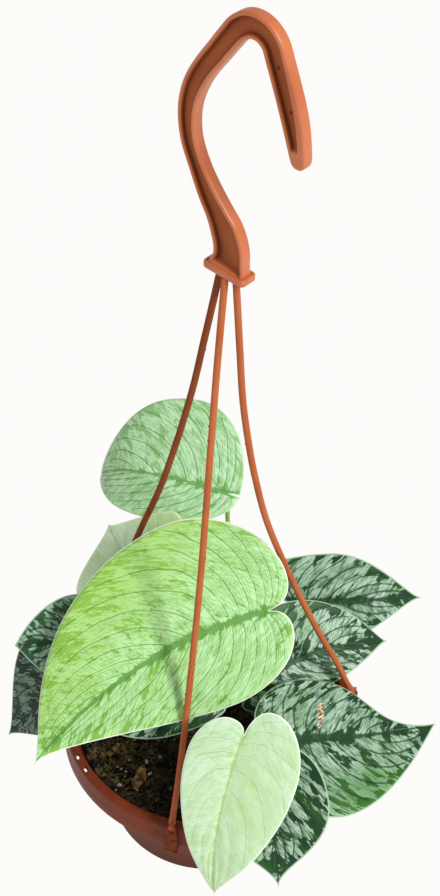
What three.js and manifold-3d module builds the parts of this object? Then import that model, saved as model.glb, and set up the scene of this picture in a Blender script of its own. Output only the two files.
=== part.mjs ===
// A satin pothos in a round hanging pot. Millimetres, +Z up.
// The origin is the seat of the hook, where it rides on its rail. Inside the group the pieces
// are placed from the middle of the pot's rim, whose top face is z = 0.
import * as THREE from "three";
import { mergeVertices } from "three/addons/utils/BufferGeometryUtils.js";
import Module from "manifold-3d";

const wasm = await Module();
wasm.setup();

// Clearance between neighbouring pieces
const GAP = 0.3;

// Pot
const RIM_RADIUS = 75;
const RIM_TOP_WIDTH = 4.5;
const SKIRT_HEIGHT = 15.7;
const SKIRT_WALL = 1.5;
const POT_HEIGHT = 71.4;
const BASE_RADIUS = 50;
const POT_WALL = 1.8;
const BASE_THICKNESS = 2;
const SLOT_SIZE = [3, 1.8];
const SLOT_ANGLES = [-145.4, -152.2, -32, -38.8, 88, 94.8];
const DRAIN_RADIUS = 4;
const DRAIN_CIRCLE = 31;
const DRAIN_COUNT = 6;

// Hanger
const STRAND_DIAMETER = 3.1;
const STRAND_TOP = 280;
const TAB_WIDTH = 7;
const TAB_THICKNESS = 2;
const TAB_BOTTOM = -18.2;
const LIP_DEPTH = 3.6;
const LIP_HEIGHT = 1.9;
const PLATE_LENGTH = 22;
const PLATE_WIDTH = 9.2;
const PLATE_THICKNESS = 3;
const PLATE_OFFSET = 1;
const HOOK_ANGLE = -41;
const HOOK_THICKNESS = 5.3;
const HOOK_WEB = 1.8;
const HOOK_FLANGE = 1.7;
const HOOK_SEAT = [5, 387];

// Plant
const SOIL_DEPTH = 9;
const BLADE_THICKNESS = 0.9;
const PETIOLE_RADIUS = 1.35;
const STEM_RADIUS = 2.6;

// Middle line of the hook in its own upright plane: distance from the pot's axis, height, width.
const hookLine = [
  [1.4, 282, 18.8],
  [1.9, 287.5, 16.2],
  [1.6, 293, 16],
  [-0.9, 300, 15.4],
  [-5.2, 306.5, 12.6],
  [-10.1, 313, 11],
  [-16.2, 323, 8.8],
  [-20.9, 333.5, 8.7],
  [-22.2, 343.5, 9],
  [-21.2, 352, 9.4],
  [-18.4, 360, 9.6],
  [-14, 368, 9.6],
  [-8.6, 375.9, 9.8],
  [-2.8, 384.4, 10],
  [1.8, 390.5, 10.3],
  [7, 393.9, 10.5],
  [13, 393.9, 10.6],
  [17.9, 390.4, 10.6],
  [21.3, 383.5, 10.7],
  [24.6, 376, 10.7],
  [27.6, 368.7, 10.6],
  [30.2, 361.4, 10],
  [32.2, 354, 8.6],
  [33.4, 349, 7.2],
  [34, 345, 5],
];

// The three strands: direction around the pot, how far each bows out of the common curve, and
// whether it does so low down (lean under 1) or high up.
const strands = [
  { name: "strand_front", angle: 258, bow: 10, lean: 1.6 },
  { name: "strand_right", angle: 9.5, bow: 2.8, lean: 0.4 },
  { name: "strand_back", angle: 139, bow: 15.5, lean: 0.7 },
];

// Common curve of a strand: distance from the axis, height.
const strandCurve = [
  [3.2, 282],
  [4.4, 265],
  [6.2, 238],
  [8.2, 210],
  [11.2, 186],
  [14.8, 164],
  [21.4, 134],
  [34.6, 94],
  [49.6, 55],
  [63, 25],
  [70.8, 11.5],
  [74.6, 5.2],
  [76.4, 0.6],
];

// Short vines that stand in the soil: foot, middle, top.
const stems = [
  { name: "stem_back", line: [[5, 20, -28], [6, 23, 0], [9, 27, 24]] },
  { name: "stem_right", line: [[26, 19, -28], [27, 20, -8], [28, 20, 5]] },
  { name: "stem_front", line: [[5, -35, -28], [5, -36, -6], [8, -38, 12]] },
  { name: "stem_left", line: [[-23, 3, -28], [-25, 2, -2], [-31, 0, 18]] },
];

// Leaves. at: where the petiole joins the blade. aim: heading, climb and roll in degrees. length:
// along the midrib. half: widths left and right of it. lobe, shoulder, widest, run and tip shape the
// outline as fractions of length or half width. bend: degrees the midrib turns by its tip, evenly and
// towards the tip. fold: degrees each side lifts. curl: degrees a side turns on its way to the margin.
const leaves = [
  {
    name: "leaf_big_lime",
    color: "lime",
    at: [26.2, -14.6, 93.1],
    aim: [-171.4, -13.6, -44.8],
    length: 130.2,
    half: [37.5, 55.3],
    lobe: [0.072, 0.093],
    shoulder: [0.28, 0.25],
    widest: [0.196, 0.345],
    run: [0.421, 0.983],
    tip: [0.121, 0.143],
    bend: [-7.9, -10.3],
    fold: [3.6, 4.5],
    curl: -5.2,
    sickle: 0.366,
    petiole: { stem: "stem_back", along: 0.85, rise: [3, -5, 14], neck: [5, 14, -24] },
  },
  {
    name: "leaf_back_high",
    color: "silver",
    at: [5.7, 56, 99.7],
    aim: [166.5, 7.6, -31.2],
    length: 87.8,
    half: [22.6, 42.4],
    lobe: [0.058, 0.06],
    shoulder: [0.027, 0.027],
    widest: [0.388, 0.315],
    run: [0.738, 0.669],
    tip: [0.258, 0.25],
    bend: [-23.9, -72],
    fold: [1.9, 14.7],
    curl: -21.7,
    sickle: 0.04,
    petiole: { stem: "stem_back", along: 0.95, rise: [-1, 6, 24], neck: [2, 1, -30] },
  },
  {
    name: "leaf_back_low",
    color: "silver",
    at: [-32.5, 42.6, 45.6],
    aim: [156.1, 35, -88.3],
    length: 38,
    half: [53, 48.6],
    lobe: [0.16, 0.16],
    shoulder: [0.48, 0.48],
    widest: [0.455, 0.516],
    run: [0.5, 0.5],
    tip: [0.244, 0.193],
    bend: [-7.8, -7.9],
    fold: [3.7, 2.2],
    curl: -9.4,
    sickle: -0.189,
    petiole: { stem: "stem_back", along: 0.7, rise: [-4, 8, 14], neck: [12, 9, -14] },
  },
  {
    name: "leaf_right_top",
    color: "dark",
    at: [41.2, 52.2, 25.1],
    aim: [-1.6, 7.4, 50.8],
    length: 68.5,
    half: [25.5, 22.1],
    lobe: [0.19, 0.19],
    shoulder: [0.725, 0.725],
    widest: [0.312, 0.259],
    run: [0.5, 0.5],
    tip: [0.155, 0.224],
    bend: [-8.1, -5],
    fold: [7.3, 3.9],
    curl: -9.2,
    sickle: -0.001,
    petiole: { stem: "stem_back", along: 0.5, rise: [10, 6, 6], neck: [-14, -4, -9] },
  },
  {
    name: "leaf_right_mid",
    color: "dark",
    at: [32.4, 11.8, 15.2],
    aim: [35, 14.2, 43.9],
    length: 62.8,
    half: [31.5, 19.8],
    lobe: [0.209, 0.369],
    shoulder: [0.389, 0.259],
    widest: [0.29, 0.218],
    run: [0.87, 0.582],
    tip: [0.156, 0.142],
    bend: [-6.8, -7.1],
    fold: [8.6, 3.3],
    curl: -5.4,
    sickle: -0.349,
    petiole: { stem: "stem_right", along: 0.93, rise: [1, -4, 4], neck: [-5, -2, -8] },
  },
  {
    name: "leaf_right_low",
    color: "dark",
    at: [37.4, -31.7, 18],
    aim: [12.2, -13.1, 12.5],
    length: 82,
    half: [34.2, 41],
    lobe: [0.172, 0.172],
    shoulder: [0.239, 0.239],
    widest: [0.206, 0.274],
    run: [0.5, 0.5],
    tip: [0.578, 0.052],
    bend: [3.5, 6.6],
    fold: [2.2, 2.5],
    curl: -12.1,
    sickle: 0.089,
    petiole: { stem: "stem_right", along: 0.73, rise: [-5, -16, -1], neck: [-11, 12, -16] },
  },
  {
    name: "leaf_front_pale",
    color: "cream",
    at: [16.3, -68.4, 67.4],
    aim: [-121.3, -57.3, -14.4],
    length: 96.1,
    half: [30.8, 22.6],
    lobe: [0.161, 0.063],
    shoulder: [0.342, 0.342],
    widest: [0.161, 0.176],
    run: [0.5, 0.5],
    tip: [0.136, 0.132],
    bend: [-15.8, -24.9],
    fold: [2.7, 10.2],
    curl: -11.1,
    sickle: 0.119,
    petiole: { stem: "stem_front", along: 0.95, rise: [-2, 1, 18], neck: [-4, 12, -20] },
  },
  {
    name: "leaf_front_dark",
    color: "dark",
    at: [30.2, -58.8, 38.8],
    aim: [-79.4, -60.6, 20.1],
    length: 69.6,
    half: [27.9, 32.2],
    lobe: [0.086, 0.086],
    shoulder: [0.384, 0.384],
    widest: [0.314, 0.32],
    run: [0.5, 0.5],
    tip: [0.278, 0.283],
    bend: [-1.7, -5.4],
    fold: [8.9, 7],
    curl: -2.2,
    sickle: 0.002,
    petiole: { stem: "stem_front", along: 0.7, rise: [6, -4, 12], neck: [-5, 8, -10] },
  },
  {
    name: "leaf_left_top",
    color: "dark",
    at: [-50.7, -8.4, 62.3],
    aim: [-171.2, -0.7, -37.7],
    length: 48.5,
    half: [22.2, 21.9],
    lobe: [0.16, 0.16],
    shoulder: [0.481, 0.481],
    widest: [0.293, 0.29],
    run: [0.5, 0.5],
    tip: [0.139, 0.121],
    bend: [-17.5, -27.3],
    fold: [5.5, 11],
    curl: -9,
    sickle: -0.002,
    petiole: { stem: "stem_left", along: 0.95, rise: [-3, -2, 14], neck: [10, 4, -16] },
  },
  {
    name: "leaf_left_low",
    color: "dark",
    at: [-63.8, -8.7, 39.2],
    aim: [-167.4, -46.9, -37.3],
    length: 60.4,
    half: [24.3, 32.3],
    lobe: [0.16, 0.16],
    shoulder: [0.48, 0.48],
    widest: [0.248, 0.234],
    run: [0.5, 0.5],
    tip: [0.2, 0.205],
    bend: [-2.9, -2.7],
    fold: [5.7, -3.7],
    curl: -8.7,
    sickle: 0.033,
    petiole: { stem: "stem_left", along: 0.65, rise: [-8, -2, 10], neck: [9, 6, -5] },
  },
  {
    name: "leaf_under",
    color: "dark",
    at: [-2.8, -26.3, 38.7],
    aim: [-161.4, -3.7, -42],
    length: 59.6,
    half: [12.8, 18.4],
    lobe: [0.16, 0.16],
    shoulder: [0.48, 0.48],
    widest: [0.333, 0.333],
    run: [0.5, 0.5],
    tip: [0.139, 0.139],
    bend: [-25.2, -46.3],
    fold: [10.8, 6],
    curl: -7.3,
    sickle: -0.004,
    petiole: { stem: "stem_front", along: 0.8, rise: [-3, 2, 12], neck: [4, 1, -14] },
  },
];

const colors = {
  pot: 0x8e4634,
  hanger: 0xc9693f,
  soil: 0x2b211a,
  stem: 0x5c8a3c,
  lime: 0x9bd66f,
  silver: 0xa4d79c,
  cream: 0xc4ecb9,
  dark: 0x3f6e4f,
};
const roughness = { pot: 0.45, hanger: 0.42, soil: 0.95, stem: 0.5, lime: 0.5, silver: 0.5, cream: 0.5, dark: 0.5 };

const deg = THREE.MathUtils.degToRad;
const vec = (a) => new THREE.Vector3(...a);

function material(name) {
  return new THREE.MeshStandardMaterial({
    color: colors[name],
    roughness: roughness[name],
    metalness: 0,
  });
}

// A closed geometry as a solid that can be joined and cut.
function solid(geometry) {
  const bare = geometry.index ? geometry.toNonIndexed() : geometry.clone();
  bare.deleteAttribute("normal");
  bare.deleteAttribute("uv");
  const merged = mergeVertices(bare, 1e-4);
  return new wasm.Manifold(
    new wasm.Mesh({
      numProp: 3,
      vertProperties: merged.attributes.position.array,
      triVerts: new Uint32Array(merged.index.array),
    }),
  );
}

function geometryOf(body) {
  const mesh = body.getMesh();
  const geometry = new THREE.BufferGeometry();
  geometry.setAttribute("position", new THREE.BufferAttribute(mesh.vertProperties, 3));
  geometry.setIndex(new THREE.BufferAttribute(mesh.triVerts, 1));
  const flat = geometry.toNonIndexed();
  flat.computeVertexNormals();
  return flat;
}

function piece(name, body, color) {
  const mesh = new THREE.Mesh(geometryOf(body), material(color));
  mesh.name = name;
  return mesh;
}

function cylinder(radius, z0, z1, x, y, sides = 12) {
  const geometry = new THREE.CylinderGeometry(radius, radius, z1 - z0, sides);
  geometry.rotateX(Math.PI / 2);
  geometry.translate(x, y, (z0 + z1) / 2);
  return solid(geometry);
}

// A round rod along a curve.
function rod(curve, radius, sides, steps) {
  const section = new THREE.Shape(
    Array.from({ length: sides }, (_, i) => {
      const turn = (2 * Math.PI * i) / sides;
      return new THREE.Vector2(radius * Math.cos(turn), radius * Math.sin(turn));
    }),
  );
  return solid(new THREE.ExtrudeGeometry(section, { steps, extrudePath: curve }));
}

// A flat bar with a drawn outline (across, height), of the depth y0 to y1.
function bar(shape, y0, y1) {
  const geometry = new THREE.ExtrudeGeometry(shape, { depth: y1 - y0, bevelEnabled: false });
  geometry.rotateX(Math.PI / 2);
  geometry.translate(0, y1, 0);
  return solid(geometry);
}

// Pot: a tapered cup whose rim folds out and down into a skirt.
function makePot() {
  const inner = RIM_RADIUS - RIM_TOP_WIDTH;
  const innerBase = BASE_RADIUS - POT_WALL;
  const profile = [
    [0, -POT_HEIGHT],
    [BASE_RADIUS, -POT_HEIGHT],
    [inner + POT_WALL, -1.8],
    [RIM_RADIUS - SKIRT_WALL, -1.8],
    [RIM_RADIUS - SKIRT_WALL, -SKIRT_HEIGHT],
    [RIM_RADIUS, -SKIRT_HEIGHT],
    [RIM_RADIUS, -2.4],
    [RIM_RADIUS - 0.8, -0.8],
    [RIM_RADIUS - 2.4, 0],
    [inner + 0.8, 0],
    [inner, -0.8],
    [innerBase, BASE_THICKNESS - POT_HEIGHT],
    [0, BASE_THICKNESS - POT_HEIGHT],
  ].map(([r, z]) => new THREE.Vector2(r, z));
  const lathe = new THREE.LatheGeometry(profile, 64);
  lathe.rotateX(Math.PI / 2);
  let pot = solid(lathe);
  for (const angle of SLOT_ANGLES) {
    const slot = new THREE.BoxGeometry(SLOT_SIZE[1], SLOT_SIZE[0], 6);
    slot.translate(RIM_RADIUS - RIM_TOP_WIDTH / 2 + 0.2, 0, -1);
    slot.rotateZ(deg(angle));
    pot = pot.subtract(solid(slot));
  }
  for (let i = 0; i < DRAIN_COUNT; i++) {
    const turn = (2 * Math.PI * i) / DRAIN_COUNT;
    const x = DRAIN_CIRCLE * Math.cos(turn);
    const y = DRAIN_CIRCLE * Math.sin(turn);
    pot = pot.subtract(cylinder(DRAIN_RADIUS, -POT_HEIGHT - 1, -POT_HEIGHT + 5, x, y));
  }
  return pot;
}

// Soil: a plug with a slightly lumpy top.
function soilHeight(x, y) {
  const r = Math.hypot(x, y) / RIM_RADIUS;
  const lumps = Math.sin(x * 0.21 + 1) * Math.cos(y * 0.17) + 0.6 * Math.sin(x * 0.43 - y * 0.38);
  return -SOIL_DEPTH + 1.6 * (1 - r * r) + 0.7 * lumps;
}

function makeSoil() {
  const slope = (RIM_RADIUS - RIM_TOP_WIDTH - BASE_RADIUS + POT_WALL) / (POT_HEIGHT - BASE_THICKNESS - 0.8);
  const floor = BASE_THICKNESS - POT_HEIGHT;
  const wallAt = (z) => BASE_RADIUS - POT_WALL - 1.1 * GAP + slope * (z - floor);
  const profile = [new THREE.Vector2(0, floor + GAP), new THREE.Vector2(wallAt(floor + GAP), floor + GAP)];
  profile.push(new THREE.Vector2(wallAt(-SOIL_DEPTH - 1), -SOIL_DEPTH - 1));
  for (const radius of [59, 49, 39, 29, 19, 9, 0]) {
    profile.push(new THREE.Vector2(radius, 0));
  }
  const lathe = new THREE.LatheGeometry(profile, 64);
  lathe.rotateX(Math.PI / 2);
  const points = lathe.attributes.position;
  for (let i = 0; i < points.count; i++) {
    if (Math.abs(points.getZ(i)) < 0.01) {
      points.setZ(i, soilHeight(points.getX(i), points.getY(i)));
    }
  }
  return solid(lathe);
}

// Hook: a flat bar in one upright plane, hollowed on both faces, on the plate that joins the strands.
function hookOutline(inset, from, to) {
  const middle = new THREE.CatmullRomCurve3(hookLine.map(([s, z]) => new THREE.Vector3(s, 0, z)));
  const width = new THREE.CatmullRomCurve3(hookLine.map(([, , w], i) => new THREE.Vector3(w, i, 0)));
  const steps = 44;
  const near = [];
  const far = [];
  for (let i = 0; i <= steps; i++) {
    const t = from + ((to - from) * i) / steps;
    const p = middle.getPoint(t);
    const tangent = middle.getTangent(t);
    const half = Math.max(width.getPoint(t).x / 2 - inset, 0.4);
    near.push(new THREE.Vector2(p.x - tangent.z * half, p.z + tangent.x * half));
    far.push(new THREE.Vector2(p.x + tangent.z * half, p.z - tangent.x * half));
  }
  return new THREE.Shape([...near, ...far.reverse()]);
}

function makeHook() {
  const half = HOOK_THICKNESS / 2;
  const flare = new THREE.CylinderGeometry(1, 1.38, 7, 4, 1);
  flare.rotateX(Math.PI / 2);
  flare.rotateZ(Math.PI / 4);
  flare.scale(Math.SQRT1_2 * PLATE_LENGTH * 0.66, Math.SQRT1_2 * HOOK_THICKNESS, 1);
  flare.translate(PLATE_OFFSET, 0, STRAND_TOP + PLATE_THICKNESS + 3);
  let hook = bar(hookOutline(0, 0, 1), -half, half).add(solid(flare));
  const hollow = hookOutline(HOOK_FLANGE, 0.06, 0.93);
  hook = hook.subtract(bar(hollow, HOOK_WEB / 2, half + 3));
  hook = hook.subtract(bar(hollow, -half - 3, -HOOK_WEB / 2));
  const plate = new THREE.BoxGeometry(PLATE_LENGTH, PLATE_WIDTH, PLATE_THICKNESS);
  plate.translate(PLATE_OFFSET, 0, STRAND_TOP + PLATE_THICKNESS / 2);
  return hook.add(solid(plate));
}

// Strand: a round rod from the plate to the rim, with a flat tab over the skirt that hooks under it.
function makeStrand(bow, lean) {
  const points = strandCurve.map(([r, z]) => {
    const out = bow * Math.max(Math.sin(Math.PI * (z / STRAND_TOP) ** lean), 0) * Math.min(1, z / 20);
    return new THREE.Vector3(r + out, 0, z);
  });
  const curve = new THREE.CatmullRomCurve3(points, false, "centripetal");
  const above = new THREE.BoxGeometry(20, 20, 10).translate(0, 0, STRAND_TOP - GAP + 5);
  const strand = rod(curve, STRAND_DIAMETER / 2, 8, 28).subtract(solid(above));
  const neck = STRAND_DIAMETER / 2;
  const half = TAB_WIDTH / 2;
  const outline = new THREE.Shape([
    new THREE.Vector2(-neck, 3.4),
    new THREE.Vector2(-neck - 0.2, -2),
    new THREE.Vector2(-half + 0.5, -11),
    new THREE.Vector2(-half, -13.5),
    new THREE.Vector2(-half, TAB_BOTTOM + 1),
    new THREE.Vector2(-half + 1, TAB_BOTTOM),
    new THREE.Vector2(half - 1, TAB_BOTTOM),
    new THREE.Vector2(half, TAB_BOTTOM + 1),
    new THREE.Vector2(half, -13.5),
    new THREE.Vector2(half - 0.5, -11),
    new THREE.Vector2(neck + 0.2, -2),
    new THREE.Vector2(neck, 3.4),
  ]);
  const tabGeometry = new THREE.ExtrudeGeometry(outline, { depth: TAB_THICKNESS, bevelEnabled: false });
  tabGeometry.rotateX(Math.PI / 2);
  tabGeometry.rotateZ(Math.PI / 2);
  tabGeometry.translate(RIM_RADIUS + GAP, 0, 0);
  const lip = new THREE.BoxGeometry(LIP_DEPTH, TAB_WIDTH - 1, LIP_HEIGHT);
  lip.translate(RIM_RADIUS - LIP_DEPTH / 2 + 1.4, 0, -SKIRT_HEIGHT - GAP - LIP_HEIGHT / 2);
  return strand.add(solid(tabGeometry)).add(solid(lip));
}

// Half of a leaf's outline, from the sinus back over the lobe, out and along to the tip.
function halfOutline(leaf, side) {
  const length = leaf.length;
  const half = leaf.half[side];
  const back = -leaf.lobe[side] * length;
  const shoulder = leaf.shoulder[side] * half;
  const widest = leaf.widest[side] * length;
  const run = leaf.run[side];
  const tip = leaf.tip[side];
  const points = [];
  const add = (count, ...p) => {
    const v = p.map(([x, y]) => new THREE.Vector2(x, y));
    const curve = new THREE.CubicBezierCurve(...v);
    for (let i = 0; i < count; i++) {
      points.push(curve.getPoint(i / count));
    }
  };
  add(3, [0, 0], [0.55 * back, 0.02 * half], [back, 0.35 * shoulder], [back, shoulder]);
  add(
    5,
    [back, shoulder],
    [back, shoulder + 0.52 * (half - shoulder)],
    [widest - 0.52 * (widest - back), half],
    [widest, half],
  );
  add(
    8,
    [widest, half],
    [widest + run * (length - widest), half],
    [length - tip * (length - widest), 0.04 * half],
    [length, 0],
  );
  points.push(new THREE.Vector2(length, 0));
  return points;
}

// Distance along and height of the bent midrib, and its slope, at a distance from the petiole.
function midrib(leaf, u) {
  const [even, late] = leaf.bend.map(deg);
  const share = Math.max(u, 0) / leaf.length;
  const steps = 40;
  let x = 0;
  let z = 0;
  for (let i = 0; i < steps; i++) {
    const s = (share * (i + 0.5)) / steps;
    const slope = even * s + late * s ** 3;
    x += (Math.cos(slope) * share * leaf.length) / steps;
    z += (Math.sin(slope) * share * leaf.length) / steps;
  }
  return [x + Math.min(u, 0), z, even * share + late * share ** 3];
}

// Axes of a leaf: along the midrib, to the left, and out of the upper face.
function leafAxes(leaf) {
  const [heading, climb, roll] = leaf.aim.map(deg);
  const along = vec([
    Math.cos(climb) * Math.cos(heading),
    Math.cos(climb) * Math.sin(heading),
    Math.sin(climb),
  ]);
  const level = vec([-Math.sin(heading), Math.cos(heading), 0]);
  const up = along.clone().cross(level);
  const left = level.clone().multiplyScalar(Math.cos(roll)).addScaledVector(up, Math.sin(roll));
  const normal = up.multiplyScalar(Math.cos(roll)).addScaledVector(level, -Math.sin(roll));
  return [along, left, normal];
}

// A point of the blade's middle surface, from its place (u, v) on the flat leaf.
function bladePoint(leaf, axes, u, v) {
  const side = v >= 0 ? 0 : 1;
  const away = Math.abs(v);
  const fold = deg(leaf.fold[side]);
  const turn = deg(leaf.curl) / leaf.half[side];
  const rise = (Math.cos(fold) - Math.cos(fold + turn * away)) / turn;
  const reach = (Math.sin(fold + turn * away) - Math.sin(fold)) / turn;
  const [x, z, slope] = midrib(leaf, u);
  const across = (v >= 0 ? reach : -reach) + leaf.sickle * leaf.length * (Math.max(u, 0) / leaf.length) ** 2;
  return vec(leaf.at)
    .addScaledVector(axes[0], x - Math.sin(slope) * rise)
    .addScaledVector(axes[1], across)
    .addScaledVector(axes[2], z + Math.cos(slope) * rise);
}

function makeBlade(leaf) {
  const axes = leafAxes(leaf);
  const sides = [halfOutline(leaf, 0), halfOutline(leaf, 1)];
  const rows = sides[0].length - 1;
  const half = 3;
  const columns = 2 * half + 1;
  const step = 0.5;
  const faces = [[], []];
  const place = (u, v) => {
    const along = bladePoint(leaf, axes, u + step, v).sub(bladePoint(leaf, axes, u - step, v));
    const across = bladePoint(leaf, axes, u, v + step).sub(bladePoint(leaf, axes, u, v - step));
    const normal = along.cross(across).normalize();
    const p = bladePoint(leaf, axes, u, v);
    faces[0].push(p.clone().addScaledVector(normal, BLADE_THICKNESS / 2));
    faces[1].push(p.clone().addScaledVector(normal, -BLADE_THICKNESS / 2));
  };
  place(0, 0);
  for (let i = 1; i < rows; i++) {
    const share = i / rows;
    const root = leaf.length * (0.006 + 0.994 * share ** 2.2);
    for (let j = 0; j < columns; j++) {
      const side = j <= half ? 0 : 1;
      const part = Math.abs(j - half) / half;
      const edge = sides[side][i];
      const v = (side === 0 ? edge.y : -edge.y) * part;
      place(THREE.MathUtils.lerp(root, edge.x, part), v);
    }
  }
  place(leaf.length, 0);
  const count = faces[0].length;
  const at = (i, j) => 1 + (i - 1) * columns + j;
  const top = [];
  for (let j = 0; j + 1 < columns; j++) {
    top.push([0, at(1, j + 1), at(1, j)]);
    top.push([count - 1, at(rows - 1, j), at(rows - 1, j + 1)]);
  }
  for (let i = 1; i + 1 < rows; i++) {
    for (let j = 0; j + 1 < columns; j++) {
      top.push([at(i, j), at(i, j + 1), at(i + 1, j + 1)]);
      top.push([at(i, j), at(i + 1, j + 1), at(i + 1, j)]);
    }
  }
  const rim = [0];
  for (let i = 1; i < rows; i++) {
    rim.push(at(i, 0));
  }
  rim.push(count - 1);
  for (let i = rows - 1; i > 0; i--) {
    rim.push(at(i, columns - 1));
  }
  const index = [];
  for (const [a, b, c] of top) {
    index.push(a, b, c);
    index.push(a + count, c + count, b + count);
  }
  rim.forEach((a, k) => {
    const b = rim[(k + 1) % rim.length];
    index.push(a, b, b + count, a, b + count, a + count);
  });
  const geometry = new THREE.BufferGeometry().setFromPoints([...faces[0], ...faces[1]]);
  geometry.setIndex(index);
  return solid(geometry);
}

function stemCurve(stem) {
  return new THREE.CatmullRomCurve3(stem.line.map(vec));
}

// Petiole: leaves its stem, rises, and meets the blade from below.
function petioleCurve(leaf) {
  const stem = stems.find((s) => s.name === leaf.petiole.stem);
  const start = stemCurve(stem).getPointAt(leaf.petiole.along);
  const normal = leafAxes(leaf)[2];
  const end = vec(leaf.at).addScaledVector(leafAxes(leaf)[0], 1.5).addScaledVector(normal, -0.6);
  return new THREE.CubicBezierCurve3(
    start,
    start.clone().add(vec(leaf.petiole.rise)),
    end.clone().add(vec(leaf.petiole.neck)),
    end,
  );
}

function makeLeaf(leaf, around) {
  const petiole = rod(petioleCurve(leaf), PETIOLE_RADIUS, 6, 10);
  return makeBlade(leaf).add(petiole.subtract(around[leaf.petiole.stem]));
}

const plant = new THREE.Group();
const turn = deg(HOOK_ANGLE);
plant.position.set(-HOOK_SEAT[0] * Math.cos(turn), -HOOK_SEAT[0] * Math.sin(turn), -HOOK_SEAT[1]);

let soil = makeSoil();
const around = {};
for (const stem of stems) {
  const grow = (extra) => rod(stemCurve(stem), STEM_RADIUS + extra, 8, 8);
  const clear = grow(1.15 * GAP);
  around[stem.name] = clear.add(clear.translate(0, 0, 1.2 * GAP));
  soil = soil.subtract(clear.add(clear.translate(0, 0, -GAP)));
  plant.add(piece(stem.name, grow(0), "stem"));
}
plant.add(piece("pot", makePot(), "pot"));
plant.add(piece("soil", soil, "soil"));

const hook = piece("hook", makeHook(), "hanger");
hook.rotation.z = turn;
plant.add(hook);
for (const { name, angle, bow, lean } of strands) {
  const strand = piece(name, makeStrand(bow, lean), "hanger");
  strand.rotation.z = deg(angle);
  plant.add(strand);
}
for (const leaf of leaves) {
  plant.add(piece(leaf.name, makeLeaf(leaf, around), leaf.color));
}

const root = new THREE.Group();
root.add(plant);
export default root;
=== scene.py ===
import math
import random

import bmesh
import bpy
import numpy as np
from mathutils import Matrix, Vector, noise


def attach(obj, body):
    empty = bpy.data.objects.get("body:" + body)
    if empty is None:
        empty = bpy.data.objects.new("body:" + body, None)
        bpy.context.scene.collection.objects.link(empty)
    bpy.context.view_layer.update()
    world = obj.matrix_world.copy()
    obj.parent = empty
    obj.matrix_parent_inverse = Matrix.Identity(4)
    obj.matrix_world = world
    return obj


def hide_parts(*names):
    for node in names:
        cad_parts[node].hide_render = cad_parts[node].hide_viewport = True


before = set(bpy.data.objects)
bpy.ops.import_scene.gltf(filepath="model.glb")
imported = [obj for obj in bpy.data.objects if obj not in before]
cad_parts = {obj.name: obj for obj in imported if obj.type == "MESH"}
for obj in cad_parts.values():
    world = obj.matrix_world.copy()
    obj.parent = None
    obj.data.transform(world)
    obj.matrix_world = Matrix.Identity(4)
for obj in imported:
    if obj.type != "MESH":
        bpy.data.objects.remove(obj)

scene = bpy.context.scene
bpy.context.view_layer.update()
print("model loaded:", len(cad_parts), "nodes")

mm = 0.001
rimCentre = np.array([-3.77355, 3.28030, -387.0])  # middle of the pot's rim in mm, from the hook's seat


def toLinear(hexColor):
    # sRGB hex to the linear colour that a shader takes
    shares = [int(hexColor[i:i + 2], 16) / 255 for i in (1, 3, 5)]
    return (*[s / 12.92 if s <= 0.04045 else ((s + 0.055) / 1.055) ** 2.4 for s in shares], 1.0)


def add(tree, kind, inputs, get=None, stops=(), **settings):
    # adds a node; inputs are sockets, values or hex colours, stops colour a ramp, get hands back one output
    made = tree.nodes.new("ShaderNode" + kind)
    for name, value in settings.items():
        setattr(made, name, value)
    for name, value in inputs.items():
        if isinstance(value, bpy.types.NodeSocket):
            tree.links.new(value, made.inputs[name])
        else:
            made.inputs[name].default_value = toLinear(value) if isinstance(value, str) else value
    for k, (position, hexColor) in enumerate(stops):
        made.color_ramp.elements[k].position = position
        made.color_ramp.elements[k].color = toLinear(hexColor)
    return made if get is None else made.outputs[get]


def newMaterial(name, **constants):
    material = bpy.data.materials.new(name)
    material.use_nodes = True
    tree = material.node_tree
    shader = tree.nodes["Principled BSDF"]
    for socket, value in constants.items():
        shader.inputs[socket.replace("_", " ")].default_value = value
    return material, tree, shader


def feed(tree, shader, **sources):
    # links each source to the shader's socket of that name
    for socket, source in sources.items():
        tree.links.new(source, shader.inputs[socket.replace("_", " ")])


def newPiece(name, points, faces, materials, replaces=(), smoothAngle=None):
    # points come in mm from the middle of the pot's rim
    mesh = bpy.data.meshes.new(name)
    placed = (np.asarray(points, float) + rimCentre) * mm
    mesh.from_pydata(placed.tolist(), [], faces)
    mesh.validate()
    piece = bpy.data.objects.new(name, mesh)
    scene.collection.objects.link(piece)
    for material in materials:
        mesh.materials.append(material)
    mesh.polygons.foreach_set("use_smooth", [True] * len(mesh.polygons))
    if smoothAngle is not None:
        mesh.set_sharp_from_angle(angle=math.radians(smoothAngle))
    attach(piece, "root")
    if replaces:
        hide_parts(*replaces)
    return piece


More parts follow.
